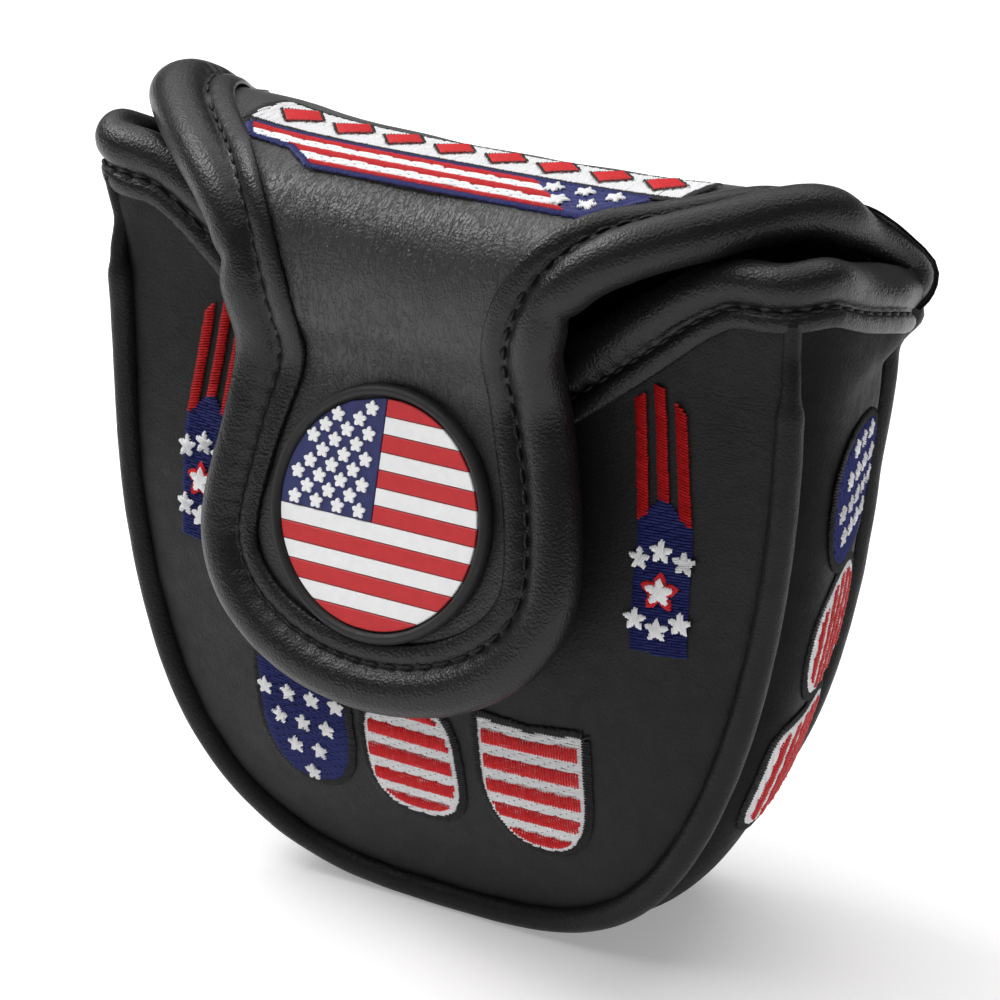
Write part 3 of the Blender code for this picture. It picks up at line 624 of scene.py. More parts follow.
def slab_object(name, outer, inner, material, normals=None):
    """A closed sheet between an outer and an inner grid of points."""
    rows, columns = outer.shape[:2]
    count = rows * columns
    index = np.arange(count).reshape(rows, columns)
    loop = np.concatenate([index[0], index[1:, -1], index[-1, -2::-1], index[-2:0:-1, 0]])
    faces = [*grid_faces(rows, columns), *grid_faces(rows, columns, start=count, flip=True)]
    faces += [(b, a, a + count, b + count) for a, b in zip(loop, np.roll(loop, -1))]
    outer, inner = outer.reshape(-1, 3), inner.reshape(-1, 3)
    if normals is not None:
        flat = normals.reshape(-1, 3)
        flat = flat * np.sign(np.sum(flat * (outer - inner)))
        normals = np.concatenate([flat, -flat])
    return mesh_object(name, np.concatenate([outer, inner]), faces, material, normals=normals, closed=True)


def disc_slab(name, rings, middle, depth, thickness, material):
    """A closed sheet from closed rings of points round a middle point, with depth along Y."""
    count, around = rings.shape[:2]
    outer = np.concatenate([rings.reshape(-1, 3), middle[None]]) + (0.0, depth, 0.0)
    size = len(outer)
    pairs = [(i, (i + 1) % around) for i in range(around)]
    faces = []
    for start, flip in ((0, False), (size, True)):
        faces += list(grid_faces(count, around, wrap=True, start=start, flip=flip))
        fans = [(start + size - 1, start + j, start + i) for i, j in pairs]
        faces += [fan[::-1] for fan in fans] if flip else fans
    edge = (count - 1) * around
    faces += [(edge + i, edge + j, edge + j + size, edge + i + size) for i, j in pairs]
    points = np.concatenate([outer, outer + (0.0, thickness, 0.0)])
    return mesh_object(name, points, faces, material, closed=True)


def joined(parts):
    """One (points, faces) from several."""
    points, faces, start = [], [], 0
    for some, quads in parts:
        points.append(some.reshape(-1, 3))
        faces += [tuple(int(i) + start for i in f) for f in quads]
        start += len(points[-1])
    return np.concatenate(points), faces


# ---------------------------------------------------------------- panels


def unevenness(points, near, ripple, wave):
    """Ripples by a seam and longer waves away from it, each given as (height, size, seed, reach)."""
    height, size, seed, reach = ripple
    ripples = noise_at(points, size, seed) * np.exp(-near / reach) * height
    height, size, seed, reach = wave
    return ripples + noise_at(points, size, seed) * height * smoothstep(near / reach)


def build_panel(side, name):
    top, half = PANEL_TOP[side]
    a = even_seam(230, top)
    x, z = seam_point(a, top)
    nx, nz = seam_normal(a)
    lower = np.stack([x - nx * SEAM_TUCK, z - nz * SEAM_TUCK], -1)
    x = np.linspace(half, -half, 90)
    z = lip_edge(x) if side == FRONT else np.full(90, FLAP_LINE[0][1])
    outline = np.concatenate([lower, np.stack([x, z], -1)])
    shares = np.sin(np.linspace(0.04, 1.0, 30) * math.pi / 2)[:, None, None]
    centre = np.array([0.0, PANEL_CENTRE_Z])
    flat = centre + (outline - centre) * shares
    x, z = flat[..., 0], flat[..., 1]
    points = np.stack([x, panel_y(x, z, side), z], -1)
    seam = np.stack(seam_point(even_seam(300, 107.0), 107.0), -1)
    near = np.linalg.norm(flat[..., None, :] - seam, axis=-1).min(-1)
    uneven = unevenness(points, near, (0.35, 5.5, 3.1 + side, 5.0), PANEL_WAVE[side])
    valley = 0.95 * (1.0 - smoothstep(near / 3.2))
    off_top = (lip_edge(np.abs(x)) - 4.0 - z) / 5.0 if side == FRONT else (104.0 - z) / 6.0
    points[..., 1] += side * uneven * smoothstep(off_top) - side * valley
    middle = np.array([0.0, panel_y(0.0, PANEL_CENTRE_Z, side), PANEL_CENTRE_Z])

    def sheet(piece, low, high, key):
        return disc_slab(piece, points, middle, -side * low, -side * (high - low), key)

    fit_layers(sheet, name + "_{}", name, "panel", "panel", POUCH)


def build_gusset():
    a = even_seam(260, end=0.995)[:, None]
    v = np.linspace(-GUSSET_OVERHANG, 1.0 + GUSSET_OVERHANG, 30)[None, :]
    points = gusset_point(a, v)
    nx, nz = seam_normal(a)
    normals = np.stack(np.broadcast_arrays(nx, 0.0 * v, nz), -1)
    off_seam = np.minimum(v, 1.0 - v) + GUSSET_OVERHANG
    off_seam = off_seam * 36.0 + 0.0 * a
    uneven = unevenness(points, off_seam, (0.3, 5.0, 11.0, 4.0), (0.4, 22.0, 5.0, 8.0))
    off_floor = smoothstep((points[..., 2] - 4.0) / 10.0)
    points = points + normals * (uneven * off_floor)[..., None]
    points[..., 2] = np.maximum(points[..., 2], FLOOR_GAP)

    def sheet(piece, low, high, key):
        return slab_object(piece, points - normals * low, points - normals * high, key)

    fit_layers(sheet, "gusset_{}", "gusset", "panel", "gusset", POUCH)


# ---------------------------------------------------------------- sweeps


def resampled(points, outs, step):
    """An even path with its corners rounded a little, and the outward directions carried along it."""
    start_run = along(points)
    path = points
    for _ in range(2):
        run = along(path)
        count = max(int(round(run[-1] / step)), 4) + 1
        path = relaxed(sampled(np.linspace(0.0, run[-1], count), run, path), 6)
    run = along(path)
    return path, unit(relaxed(sampled(run / run[-1] * start_run[-1], start_run, outs), 8))


def frames(path, outs):
    """Directions across (outwards) and up (off the edge) at each point of a path."""
    tangent = unit(np.gradient(path, axis=0))
    across = unit(outs - tangent * np.sum(outs * tangent, -1, keepdims=True))
    return across, np.cross(across, tangent)


def swept_grid(path, across, up, sections):
    return path[:, None] + across[:, None] * sections[..., 0:1] + up[:, None] * sections[..., 1:2]


def swept_normals(grid):
    """Normals of a swept grid whose columns close on themselves."""
    around = np.roll(grid, -1, axis=1) - np.roll(grid, 1, axis=1)
    normals = unit(np.cross(np.gradient(grid, axis=0), around))
    return normals * np.sign(np.sum(normals * (grid - grid.mean(axis=1, keepdims=True))))


def tube_object(name, grid, material, normals=None):
    """A closed tube from a swept grid, with flat ends."""
    flat = None if normals is None else normals.reshape(-1, 3)
    faces = tube_faces(*grid.shape[:2])
    return mesh_object(name, grid.reshape(-1, 3), faces, material, normals=flat, closed=True)


def circle(radius, sides):
    turn = np.linspace(0.0, 2 * math.pi, sides, endpoint=False)
    return radius * np.stack([np.cos(turn), np.sin(turn)], -1)


def build_piping(side, name):
    """A leather-covered cord in the seam, thinner where the mouth's tape holds it down."""
    x, z = seam_point(even_seam(300, PIPING_TOP[side]), PIPING_TOP[side])
    outs = np.tile((0.0, float(side), 0.0), (len(x), 1))
    path, outs = resampled(np.stack([x, seam_y(z, side), z], -1), outs, 1.0)
    tucked = smoothstep((path[:, 2] - 98.0) / 6.0)
    path[:, 0] -= np.sign(path[:, 0]) * tucked
    path[:, 1] -= side * 1.5 * tucked
    held = smoothstep((path[:, 2] - 95.0) / 3.5) if side == FRONT else 0.0
    lumps = noise_along(along(path), 6.0, 2.0 + side)
    radius = PIPING_RADIUS[side] * (1.0 - 0.34 * held) * (1.0 + 0.04 * lumps)
    grid = swept_grid(path, *frames(path, outs), circle(1.0, 20) * radius[:, None, None])
    grid[..., 2] = np.maximum(grid[..., 2], PIPING_FLOOR_GAP)
    obj = tube_object(name + "_leather", grid, "piping")
    fit(obj, name, POUCH)


# ---------------------------------------------------------------- bindings


def binding_sections(run, scale, seed, folds=()):
    """The binding's outline at each place along it: a roll, a stitched groove and a tape each side."""
    pinches = 0.5 + 0.5 * np.cos(2 * math.pi * run / STITCH_PITCH)
    sways = noise_along(run, 11.0, seed)
    puffs = noise_along(run, 4.0, seed + 9.0)
    turn = np.radians([*np.linspace(-52, -10, 7), *np.linspace(2, 178, 17), *np.linspace(190, 232, 7)])
    under = np.maximum(0.0, -np.sin(turn)) ** 1.5
    over = np.maximum(0.0, np.sin(turn)) ** 0.5
    sections = []
    for place, size, pinch, sway, puff in zip(run, scale, pinches, sways, puffs):
        radius = ROLL_RADIUS * size * (1.0 + 0.022 * sway + 0.012 * puff)
        bulge = radius * (1.0 + 0.05 * under * (0.6 - pinch))
        for fold in folds:
            off = place - fold
            crease = 0.13 * math.exp(-(off / 7.0) ** 2) + 0.17 * math.exp(-(off / 1.5) ** 2)
            crease -= 0.05 * math.exp(-((abs(off) - 4.5) / 2.0) ** 2)
            bulge = bulge * (1.0 - crease * over)
        roll = bulge[:, None] * np.stack([np.cos(turn), np.sin(turn)], -1)
        dip = 0.22 * pinch
        right = np.array([
            (2.05, TAPE_END), (2.60, TAPE_END - 0.02), (2.98, TAPE_END + 0.30),
            (3.16, TAPE_END + 0.95), (3.20 + 0.06 * puff, TAPE_END + 1.8),
            (3.08 - 0.10 * pinch, TAPE_END + 2.6), (2.72 - dip * 0.6, TAPE_END + 3.15),
            (GROOVE[0] - dip, GROOVE[1]),
        ])
        inner = [(-2.05, -3.4), (0.0, -3.2), (2.05, -3.4)]
        sections.append(np.concatenate([right, roll, right[::-1] * (-1.0, 1.0), inner]))
    return np.array(sections)


def build_stitches(name, line, outs, carrier):
    """Short threads end to end along a line, each a little arched."""
    run = along(line)
    tangent = unit(np.gradient(line, axis=0))
    share = np.array([0.0, 0.12, 0.32, 0.5, 0.68, 0.88, 1.0])
    rise = np.sin(math.pi * share) ** 0.5
    girth = (0.45 + 0.55 * rise)[:, None, None]
    ring = circle(1.0, 7)
    parts = []
    for start in np.arange(STITCH_PITCH / 2, run[-1] - STITCH_PITCH, STITCH_PITCH):
        at = start + share * STITCH_LENGTH
        out = unit(sampled(at, run, outs))
        side = np.cross(unit(sampled(at, run, tangent)), out)
        centre = sampled(at, run, line) + out * (STITCH_HEIGHT * (rise - 0.55))[:, None]
        section = ring * (STITCH_WIDTH / 2, STITCH_HEIGHT) * girth
        parts.append((swept_grid(centre, side, out, section), tube_faces(len(share), len(ring))))
    carry(mesh_object(name, *joined(parts), "stitch"), carrier)


def stitch_both_faces(name, path, across, up, carrier):
    for label, face in (("", across), ("_inside", -across)):
        groove = path + face * (GROOVE[0] + 0.05) + up * GROOVE[1]
        build_stitches(name.format(label), groove, face, carrier)


def binding_line(points, outs, rises):
    """Stations of a binding's centre line, with its directions across and up."""
    path, outs = resampled(points, outs, STATION_STEP)
    across, up = frames(path, outs)
    return path, across, up if (up[len(up) // 2, 2] > 0) == rises else -up


def mouth_half():
    """Right half of the mouth binding's centre line, with its outward directions."""
    x = np.linspace(0.0, LIP_END_X, 80)
    z = lip_edge(x)
    lip_out = panel_normal(x, z, FRONT)
    ahead = unit(np.stack([np.full_like(x, 2.0), 0 * x, lip_edge(x + 1.0) - lip_edge(x - 1.0)], -1))
    up = unit(np.cross(ahead, lip_out))
    up *= np.sign(up[:, 2:3])
    lip = np.stack([x, panel_y(x, z, FRONT) + STACK / 2, z], -1) + up * EDGE_INSET
    _, start_y, start_z = lip[-1]
    radius = CORNER_Y - start_y
    centre_x = SEAM_HALF_WIDTH + gusset_swell(SIDE_COLUMNS[0]) - STACK / 2 - radius
    turn = np.radians(np.linspace(-82.0, -5.0, 16))
    corner_out = np.stack([np.cos(turn), np.sin(turn), 0 * turn], -1)
    corner = corner_out * radius + (centre_x, CORNER_Y, 0.0)
    corner[:, 2] = start_z + (CORNER_Z - start_z) * smoothstep((np.degrees(turn) + 90.0) / 90.0)
    v = np.linspace(*SIDE_COLUMNS, 24)
    y = gusset_y(v, SEAM_HEIGHT)
    side = np.stack([SEAM_HALF_WIDTH - STACK / 2 + gusset_swell(v), y, mouth_side_z(y)], -1)
    back = (side[-1, 0] - 0.9, SIDE_BACK_Y, SIDE_BACK_Z)
    points = np.concatenate([lip, corner, side, [back]])
    x, y, _ = points.T
    raised = smoothstep((x - 34.0) / 12.0) * (1.0 - smoothstep((y + 20.0) / 8.0))
    sagging = np.exp(-((y + 3.0) / 10.0) ** 2) * smoothstep((x - 56.0) / 5.0)
    points[:, 2] += LIP_RAISE * raised - SIDE_SAG * sagging
    return points, np.concatenate([lip_out, corner_out, np.tile((1.0, 0.0, 0.0), (len(side) + 1, 1))])


def build_mouth():
    whole = (np.concatenate([mirrored(half[:0:-1]), half]) for half in mouth_half())
    path, across, up = binding_line(*whole, rises=True)
    size = 1.0 - (1.0 - SIDE_SIZE) * smoothstep((np.abs(path[:, 0]) - 30.0) / 22.0)
    sections = binding_sections(along(path), size, 1.7)
    sections[..., 1] *= np.where(sections[..., 1] < GROOVE[1] + 1.0, size[:, None], 1.0)
    binding = tube_object("mouth_binding_leather", swept_grid(path, across, up, sections), "binding")
    fit(binding, "mouth_binding", POUCH)
    core = swept_grid(path, across, up, circle(CORE_RADIUS, 14) * size[:, None, None])
    cord = tube_object("mouth_binding_cord", core[MOUTH_CORE_TRIM:-MOUTH_CORE_TRIM], "filler")
    fit(cord, "mouth_binding_filler", POUCH)
    stitch_both_faces("mouth_stitches{}", path, across, up * size[:, None], POUCH)


def flap_edge():
    """Centre line of the flap's binding, from the mouth's right back corner round the tip to the left
    one, with its outward directions."""
    corner = np.array([mouth_half()[0][-1], *HINGE_CORNER])
    q = np.linspace(2.3, FLAP_LAST, 160)
    half = flap_row(q)[2]
    n = flap_normal(q, half)
    flat = smoothstep((q - 1.6) / 1.1)[:, None]
    edge = flap_surface(q, half) - n * (STACK / 2) - edge_drop(q)[:, None] * (0.0, 0.0, 1.0)
    edge_out = unit(flat * n + (1.0 - flat) * (1.0, 0.0, 0.35))
    right = np.concatenate([corner, edge])
    right_out = np.concatenate([np.tile((1.0, 0.0, 0.15), (len(corner), 1)), edge_out])
    angle = np.linspace(0.0, math.pi, 60)[1:-1]
    tip_out = flap_normal(FLAP_LAST + 1.0, 0.0)
    tip = (flap_surface(float(FLAP_LAST), 0.0) - tip_out * (STACK / 2)
           + np.outer(FLAP_LINE[-1][2] * np.cos(angle), (1.0, 0.0, 0.0))
           + np.outer(TIP_DEPTH * np.sin(angle), (0.0, -math.sin(TIP_TILT), -math.cos(TIP_TILT))))
    points = np.concatenate([right, tip, mirrored(right)[::-1]])
    return points, np.concatenate([right_out, np.tile(tip_out, (len(tip), 1)), mirrored(right_out)[::-1]])


def build_flap_binding():
    path, across, up = binding_line(*flap_edge(), rises=False)
    run = along(path)
    ends = np.minimum(run, run[-1] - run)
    scale = 0.80 + 0.20 * smoothstep((ends - 12.0) / 14.0)
    right = path[:len(path) // 2]
    fold = run[np.argmin(np.abs(right[:, 2] - FOLD_Z) + 99.0 * (right[:, 1] > -20.0))]
    sections = binding_sections(run, scale, 4.2, (fold, run[-1] - fold - 1.5))
    squeeze = smoothstep((ends - 12.0) / 20.0)[:, None]
    x, y = sections[..., 0], sections[..., 1]
    pressed = np.stack([x * (0.86 + 0.14 * squeeze), TAPE_TOP + (y - TAPE_TOP) * (0.05 + 0.95 * squeeze)], -1)
    sections = np.where(y[..., None] < TAPE_TOP, pressed, sections)
    grid = swept_grid(path, across, up, sections)
    normals = swept_normals(grid)
    core = swept_grid(path, across, up, circle(CORE_RADIUS * 0.93, 14) * scale[:, None, None])
    split = int(np.argmin(np.abs(right[:, 1] - flap_row(FLAP_SPLIT)[0]) + (right[:, 2] < 112.0) * 100.0))
    last = len(path) - 1

    def span(first, final, trim):
        return slice(max(first, trim), min(final, last - trim) + 1)

    for name, node, *ends, carrier in (("right", "crown_binding_right", 0, split, HINGE),
                                       ("front", "tip_binding", split, last - split, FOLD),
                                       ("left", "crown_binding_left", last - split, last, HINGE)):
        part = span(*ends, 0)
        binding = tube_object("flap_binding_" + name, grid[part], "binding", normals[part])
        fit(binding, node, carrier)
        cord = tube_object("flap_cord_" + name, core[span(*ends, FLAP_CORE_TRIM)], "filler")
        fit(cord, node + "_filler", carrier)
        sewn = span(*ends, HINGE_STITCH_GAP)
        stitch_both_faces("flap_stitches{}_" + name, path[sewn], across[sewn], up[sewn], carrier)


def build_flap():
    """Leather, padding and lining of the flap, each in a back and a front sheet."""
    back = np.linspace(0.0, FLAP_SPLIT, 56)
    front = np.linspace(FLAP_SPLIT, FLAP_LAST, 96)[1:]
    tip = FLAP_LAST + (TIP_DEPTH - FLAP_INSET) * np.sin(np.linspace(0.0, math.pi / 2, 26)[1:])
    q = np.concatenate([back, front, tip])[:, None]
    share = np.sin(np.linspace(-1.0, 1.0, 75) * 1.25) / math.sin(1.25)
    half = flap_half(q)
    x = share * np.maximum(half, 0.4)
    points, normals = flap_surface(q + 0 * x, x), flap_normal(q + 0 * x, x)
    off_edge = np.minimum((1.0 - np.abs(share)) * half, 30.0)
    uneven = unevenness(points, off_edge, (0.35, 5.0, 21.0, 5.0), (0.55, 17.0, 13.0, 8.0))
    calm = (1.0 - 0.75 * smoothstep(q - 12.0)) * smoothstep(q / 0.8)
    points = points + normals * (uneven * calm)[..., None]
    points[..., 2] -= edge_drop(q) * smoothstep((12.0 - off_edge) / 12.0)
    shade = unit(np.cross(np.gradient(points, axis=0), np.gradient(points, axis=1)))
    cut = len(back)
    for name, node, rows, carrier in (("back", "crown", slice(0, cut), HINGE),
                                      ("front", "tip", slice(cut - 1, len(q)), FOLD)):

        def sheet(piece, low, high, key, rows=rows):
            outer, inner = (points[rows] - normals[rows] * depth for depth in (low, high))
            return slab_object(piece, outer, inner, key, shade[rows])

        fit_layers(sheet, "flap_{}_" + name, node, "leather", "flap", carrier)


# ---------------------------------------------------------------- badge


def on_badge(points):
    """Places on the badge, from points given to the right, up and out of its centre."""
    out = flap_normal(FLAP_LAST + 1.0, 0.0)
    up = np.array([0.0, math.sin(TIP_TILT), math.cos(TIP_TILT)])
    start = flap_surface(float(FLAP_LAST), 0.0)
    rise = (BADGE_HEIGHT - start[2]) / math.cos(TIP_TILT)
    return start + up * rise + out * BADGE_SEAT + points @ np.array([(1.0, 0.0, 0.0), up, out])


def twice_area(outline):
    """Twice the area of a closed outline, negative when it runs clockwise."""
    ahead = np.roll(outline, -1, axis=0)
    return float(np.sum(outline[:, 0] * ahead[:, 1] - ahead[:, 0] * outline[:, 1]))


def tile(outline, top, low, high, bevel):
    """A solid tile (points, faces) from an outline and its slightly smaller top face."""
    count = len(outline)
    levels = ((outline, low), (outline, high - bevel), (top, high))
    rings = [np.column_stack([flat, np.full(count, z)]) for flat, z in levels]
    if twice_area(outline) < 0:
        rings = [ring[::-1] for ring in rings]
    return np.concatenate(rings), tube_faces(len(rings), count)


def face_tile(x_low, x_high, y_low, y_high):
    """A tile of the badge's face, cut to its round edge."""
    outlines = []
    for inset in (0.0, TILE_BEVEL):
        gap = TILE_GAP + inset
        y = np.linspace(y_low + gap, y_high - gap, 14)
        reach = np.sqrt(np.maximum((BADGE_FACE_RADIUS - inset) ** 2 - y ** 2, 0.0))
        left = np.maximum(-reach, x_low + gap)
        right = np.maximum(reach, left + 0.02)
        x = np.minimum(np.concatenate([right, left[::-1]]), x_high - gap)
        outlines.append(np.stack([x, np.concatenate([y, y[::-1]])], -1))
    return tile(*outlines, TILE_LOW, TILE_HIGH, TILE_BEVEL)


def star_outline(centre, radius, waist, points=40, round_off=0.6):
    """A five-pointed star with slightly blunt points."""
    angle = np.linspace(0.0, 2 * math.pi, points, endpoint=False)
    wave = np.abs((angle * 5 / (2 * math.pi)) % 1.0 - 0.5) * 2.0
    reach = radius * (waist + (1.0 - waist) * wave ** round_off)
    return np.stack([centre[0] + reach * np.sin(angle), centre[1] + reach * np.cos(angle)], -1)


def badge_piece(name, node, tiles, materials):
    """One piece of the badge's face, from its tiles and the index of each one's material."""
    points, faces = joined([part for part, _ in tiles])
    indices = [index for (_, quads), index in tiles for _ in quads]
    obj = mesh_object(name, on_badge(points), faces, materials, indices, soft=False)
    obj.data.shade_flat()
    fit(obj, node, TIP)


def build_badge():
    turn = np.linspace(0.0, 2 * math.pi, BADGE_SIDES, endpoint=False)
    reach, level = BADGE_PROFILE[:, :1], BADGE_PROFILE[:, 1:]
    rings = np.stack([reach * np.cos(turn), reach * np.sin(turn), level + 0.0 * turn], -1)
    dish = mesh_object("badge_dish", on_badge(rings.reshape(-1, 3)), tube_faces(*rings.shape[:2]), "rubber",
                       closed=True, soft=False)
    fit(dish, "badge_base", TIP)
    radius = BADGE_FACE_RADIUS
    height = 2 * radius / STRIPES
    stripes = []
    for k in range(STRIPES):
        top = radius - k * height
        left = CANTON_X if k < CANTON_STRIPES else -radius
        stripes.append((face_tile(left, 2 * radius, top - height, top), k % 2))
    badge_piece("badge_stripe_face", "badge_stripes", stripes, ("rubber_red", "rubber_white"))
    foot = radius - CANTON_STRIPES * height
    canton = [(face_tile(-2 * radius, CANTON_X, foot, radius), 0)]
    for row, column in np.ndindex(10, 5):
        centre = (CANTON_X - 2.35 - STAR_STEP * column - STAR_ROW * (row % 2), foot + 1.29 + STAR_ROW * row)
        if math.hypot(*centre) <= radius - 1.0:
            outlines = star_outline(centre, 1.22, 0.52), star_outline(centre, 1.08, 0.50)
            canton.append((tile(*outlines, TILE_HIGH - 0.05, TILE_HIGH + 0.32, 0.10), 1))
    badge_piece("badge_canton_face", "badge_canton", canton, ("rubber_navy", "rubber_white"))


# ---------------------------------------------------------------- embroidery

RANDOM = np.random.default_rng(7)


def inside(outline, x, y):
    """Whether each point lies inside a closed outline."""
    x1, y1 = outline[:, 0], outline[:, 1]
    x2, y2 = np.roll(x1, -1), np.roll(y1, -1)
    above = (y1 > y[..., None]) != (y2 > y[..., None])
    slope = (x2 - x1) / np.where(y2 == y1, 1e-9, y2 - y1)
    crossing = x[..., None] < x1 + slope * (y[..., None] - y1)
    return (np.sum(above & crossing, axis=-1) % 2) == 1


def box_of(outline):
    return (*(outline.min(0) - 0.3), *(outline.max(0) + 0.3))


def scan(mask, box, angle, longest, pitch):
    """Threads laid side by side over a mask: rows of (start, end) points."""
    d = np.array([math.cos(angle), math.sin(angle)])
    n = np.array([-d[1], d[0]])
    corners = np.array([(box[0], box[1]), (box[2], box[1]), (box[0], box[3]), (box[2], box[3])])
    t = np.arange((corners @ d).min(), (corners @ d).max(), 0.1)
    found = []
    for index, r in enumerate(np.arange((corners @ n).min(), (corners @ n).max(), pitch)):
        points = t[:, None] * d + r * n
        hit = mask(points[:, 0], points[:, 1]).astype(int)
        edges = np.flatnonzero(np.diff(np.concatenate([[0], hit, [0]])))
        for a, b in zip(edges[::2], edges[1::2]):
            low, high = t[a], t[b - 1]
            if high - low < 0.25:
                continue
            cuts = [low - 0.08 * RANDOM.random(), high + 0.08 * RANDOM.random()]
            if high - low > longest * 1.35:
                first = np.ceil((low + 0.8) / longest) * longest + (index % 3) * longest / 3 - longest / 3
                middle = np.arange(first, high - 0.8, longest)
                cuts[1:1] = middle[middle > low + 0.8]
            found += [(*(c * d + r * n), *(e * d + r * n)) for c, e in zip(cuts, cuts[1:])]
    return np.array(found).reshape(-1, 4)


def satin_edge(outline, inner, outer):
    """Short threads that cross a closed outline all the way round."""
    closed = np.concatenate([outline, outline[:1]])
    run = along(closed)
    points = sampled(np.arange(0.0, run[-1], THREAD_PITCH), run, closed)
    ahead = unit(np.roll(points, -1, axis=0) - np.roll(points, 1, axis=0))
    out = np.stack([ahead[:, 1], -ahead[:, 0]], -1) * math.copysign(1.0, twice_area(outline))
    wobble = 0.07 * RANDOM.standard_normal(len(points))[:, None]
    return np.concatenate([points - out * inner, points + out * (outer + wobble)], -1)


class Embroidery:
    """Threads gathered for one motif, on a surface given by place(u, v, height)."""

    def __init__(self, place):
        self.place = place
        self.points, self.faces, self.colours = [], [], []
        self.count = 0

    def lay(self, threads, colour, base, crest=0.30, width=0.41):
        """Add threads as raised strips, with their foot at base and their rise and breadth given."""
        if len(threads) == 0:
            return
        a, b = threads[:, :2], threads[:, 2:]
        d = (b - a) / np.maximum(np.linalg.norm(b - a, axis=1, keepdims=True), 1e-6)
        n = np.stack([-d[:, 1], d[:, 0]], -1)
        jitter = 1.0 + 0.12 * RANDOM.standard_normal(len(a))
        share = np.array([0.0, 0.10, 0.5, 0.90, 1.0])
        rise = np.array([-0.9, 0.45, 1.0, 0.45, -0.9])
        offsets = np.array([-0.5, 0.0, 0.5])
        drop = np.array([-0.9, 0.35, -0.9])
        centre = a[:, None] + (b - a)[:, None] * share[None, :, None]
        flat = centre[:, :, None] + n[:, None, None] * (offsets * width)[None, None, :, None]
        height = base + crest * (rise[None, :, None] * 0.6 + drop[None, None, :]) * jitter[:, None, None]
        height = height + 0.02 * RANDOM.standard_normal(len(a))[:, None, None]
        points = self.place(flat[..., 0].ravel(), flat[..., 1].ravel(), height.ravel())
        quads = grid_faces(len(share), len(offsets))
        starts = self.count + np.arange(len(a)) * len(share) * len(offsets)
        self.faces.append((starts[:, None, None] + quads).reshape(-1, 4))
        self.points.append(points)
        self.colours.append(np.full(len(a) * len(quads), THREAD_KEYS.index(colour)))
        self.count += len(points)

    def edge(self, outline, inner, outer, colour, *thread):
        """Satin round an outline, from inner inside it to outer outside it."""
        self.lay(satin_edge(outline, inner, outer), colour, *thread)

    def fill(self, outline, angle, longest, colour, *thread, pitch=THREAD_PITCH, where=None):
        """Threads over an outline, or over the part of it where a test on (x, y) holds."""

        def mask(x, y):
            return inside(outline, x, y) & (True if where is None else where(x, y))

        self.lay(scan(mask, box_of(outline), angle, longest, pitch), colour, *thread)

    def star(self, centre, radius, base):
        outline = star_outline(centre, radius, 0.44, 50, 0.9)
        tilt = RANDOM.uniform(0.0, math.pi)
        self.fill(outline, tilt, LONG_STITCH, "white", base, *STAR_THREAD, pitch=STAR_PITCH)

    def finish(self, name, node, slot, carrier=POUCH):
        obj = mesh_object(name, np.concatenate(self.points), np.concatenate(self.faces),
                          THREAD_KEYS, np.concatenate(self.colours))
        fit(obj, node, carrier)


def shield(centre, half_width, half_height):
    """A shield: level top, straight sides and a bottom that curves to a point."""
    top = np.array([(-half_width, half_height), (0.0, half_height * 0.93), (half_width, half_height)])
    turn = np.linspace(0.0, math.pi / 2, 16)
    right = np.stack([half_width * np.cos(turn) ** 0.75, half_height * (0.05 - 1.05 * np.sin(turn))], -1)
    return np.concatenate([top, right, right[:-1][::-1] * (-1.0, 1.0)]) + centre


def roundel(centre, half_width, half_height, power=3.0):
    turn = np.linspace(0.0, 2 * math.pi, 72, endpoint=False)
    around = np.stack([np.cos(turn), np.sin(turn)], -1)
    return np.sign(around) * np.abs(around) ** (2 / power) * (half_width, half_height) + centre


def shrunk(outline, share):
    middle = outline.mean(0)
    return (outline - middle) * share + middle


def starry(work, outline, radius, spacing, level):
    """White stars on a navy ground, with a black edge."""
    work.edge(outline, 0.3, 1.15, "black", *OUTLINE_THREAD)
    work.fill(outline, 0.0 if level else math.pi / 2, 3.6, "navy", 0.42)
    _, y_low, x_high, y_high = box_of(outline)
    x_low = outline[:, 0].mean() - 3 * spacing
    for row, y in enumerate(np.arange(y_low + radius, y_high, spacing)):
        for x in np.arange(x_low + spacing / 2 * (row % 2), x_high, spacing):
            if inside(shrunk(outline, 0.86), np.array([x]), np.array([y]))[0]:
                work.star((x, y), radius, 0.80)


def striped(work, outline, pitch, red_share, level):
    """Raised red satin stripes on a white ground, with a black edge."""
    work.edge(outline, 0.3, 1.15, "black", *OUTLINE_THREAD)
    ground, bars = (0.0, math.pi / 2) if level else (math.pi / 2, 0.0)
    work.fill(outline, ground, 3.0, "white", 0.42)
    small = shrunk(outline, 0.90)
    middle = outline[:, 1 if level else 0].mean() - pitch * red_share / 2
    for k in range(-6, 7):
        low = middle + k * pitch

        def bar(x, y, low=low):
            place = y if level else x
            return inside(small, x, y) & (place > low) & (place < low + pitch * red_share)

        work.fill(outline, bars, LONG_STITCH, "red", 0.74, 0.28, where=bar)


def on_front(x, z, height):
    y = panel_y(x, z, FRONT)
    swing, size, seed, _ = PANEL_WAVE[FRONT]
    wave = noise_at(np.stack([x, y, z], -1), size, seed) * swing
    return np.stack([x, y - wave, z], -1) + panel_normal(x, z, FRONT) * height[:, None]


GUSSET_A = np.linspace(0.0, CURVE_SHARE, 400)
GUSSET_Z = seam_point(GUSSET_A, SEAM_HEIGHT)[1]


def on_gusset(u, z, height):
    """u is the place across the gusset from its middle, towards the back, in millimetres."""
    width = gusset_y(1.0, z) - gusset_y(0.0, z)
    return gusset_point(np.interp(z, GUSSET_Z, GUSSET_A), 0.5 + u / width, height)


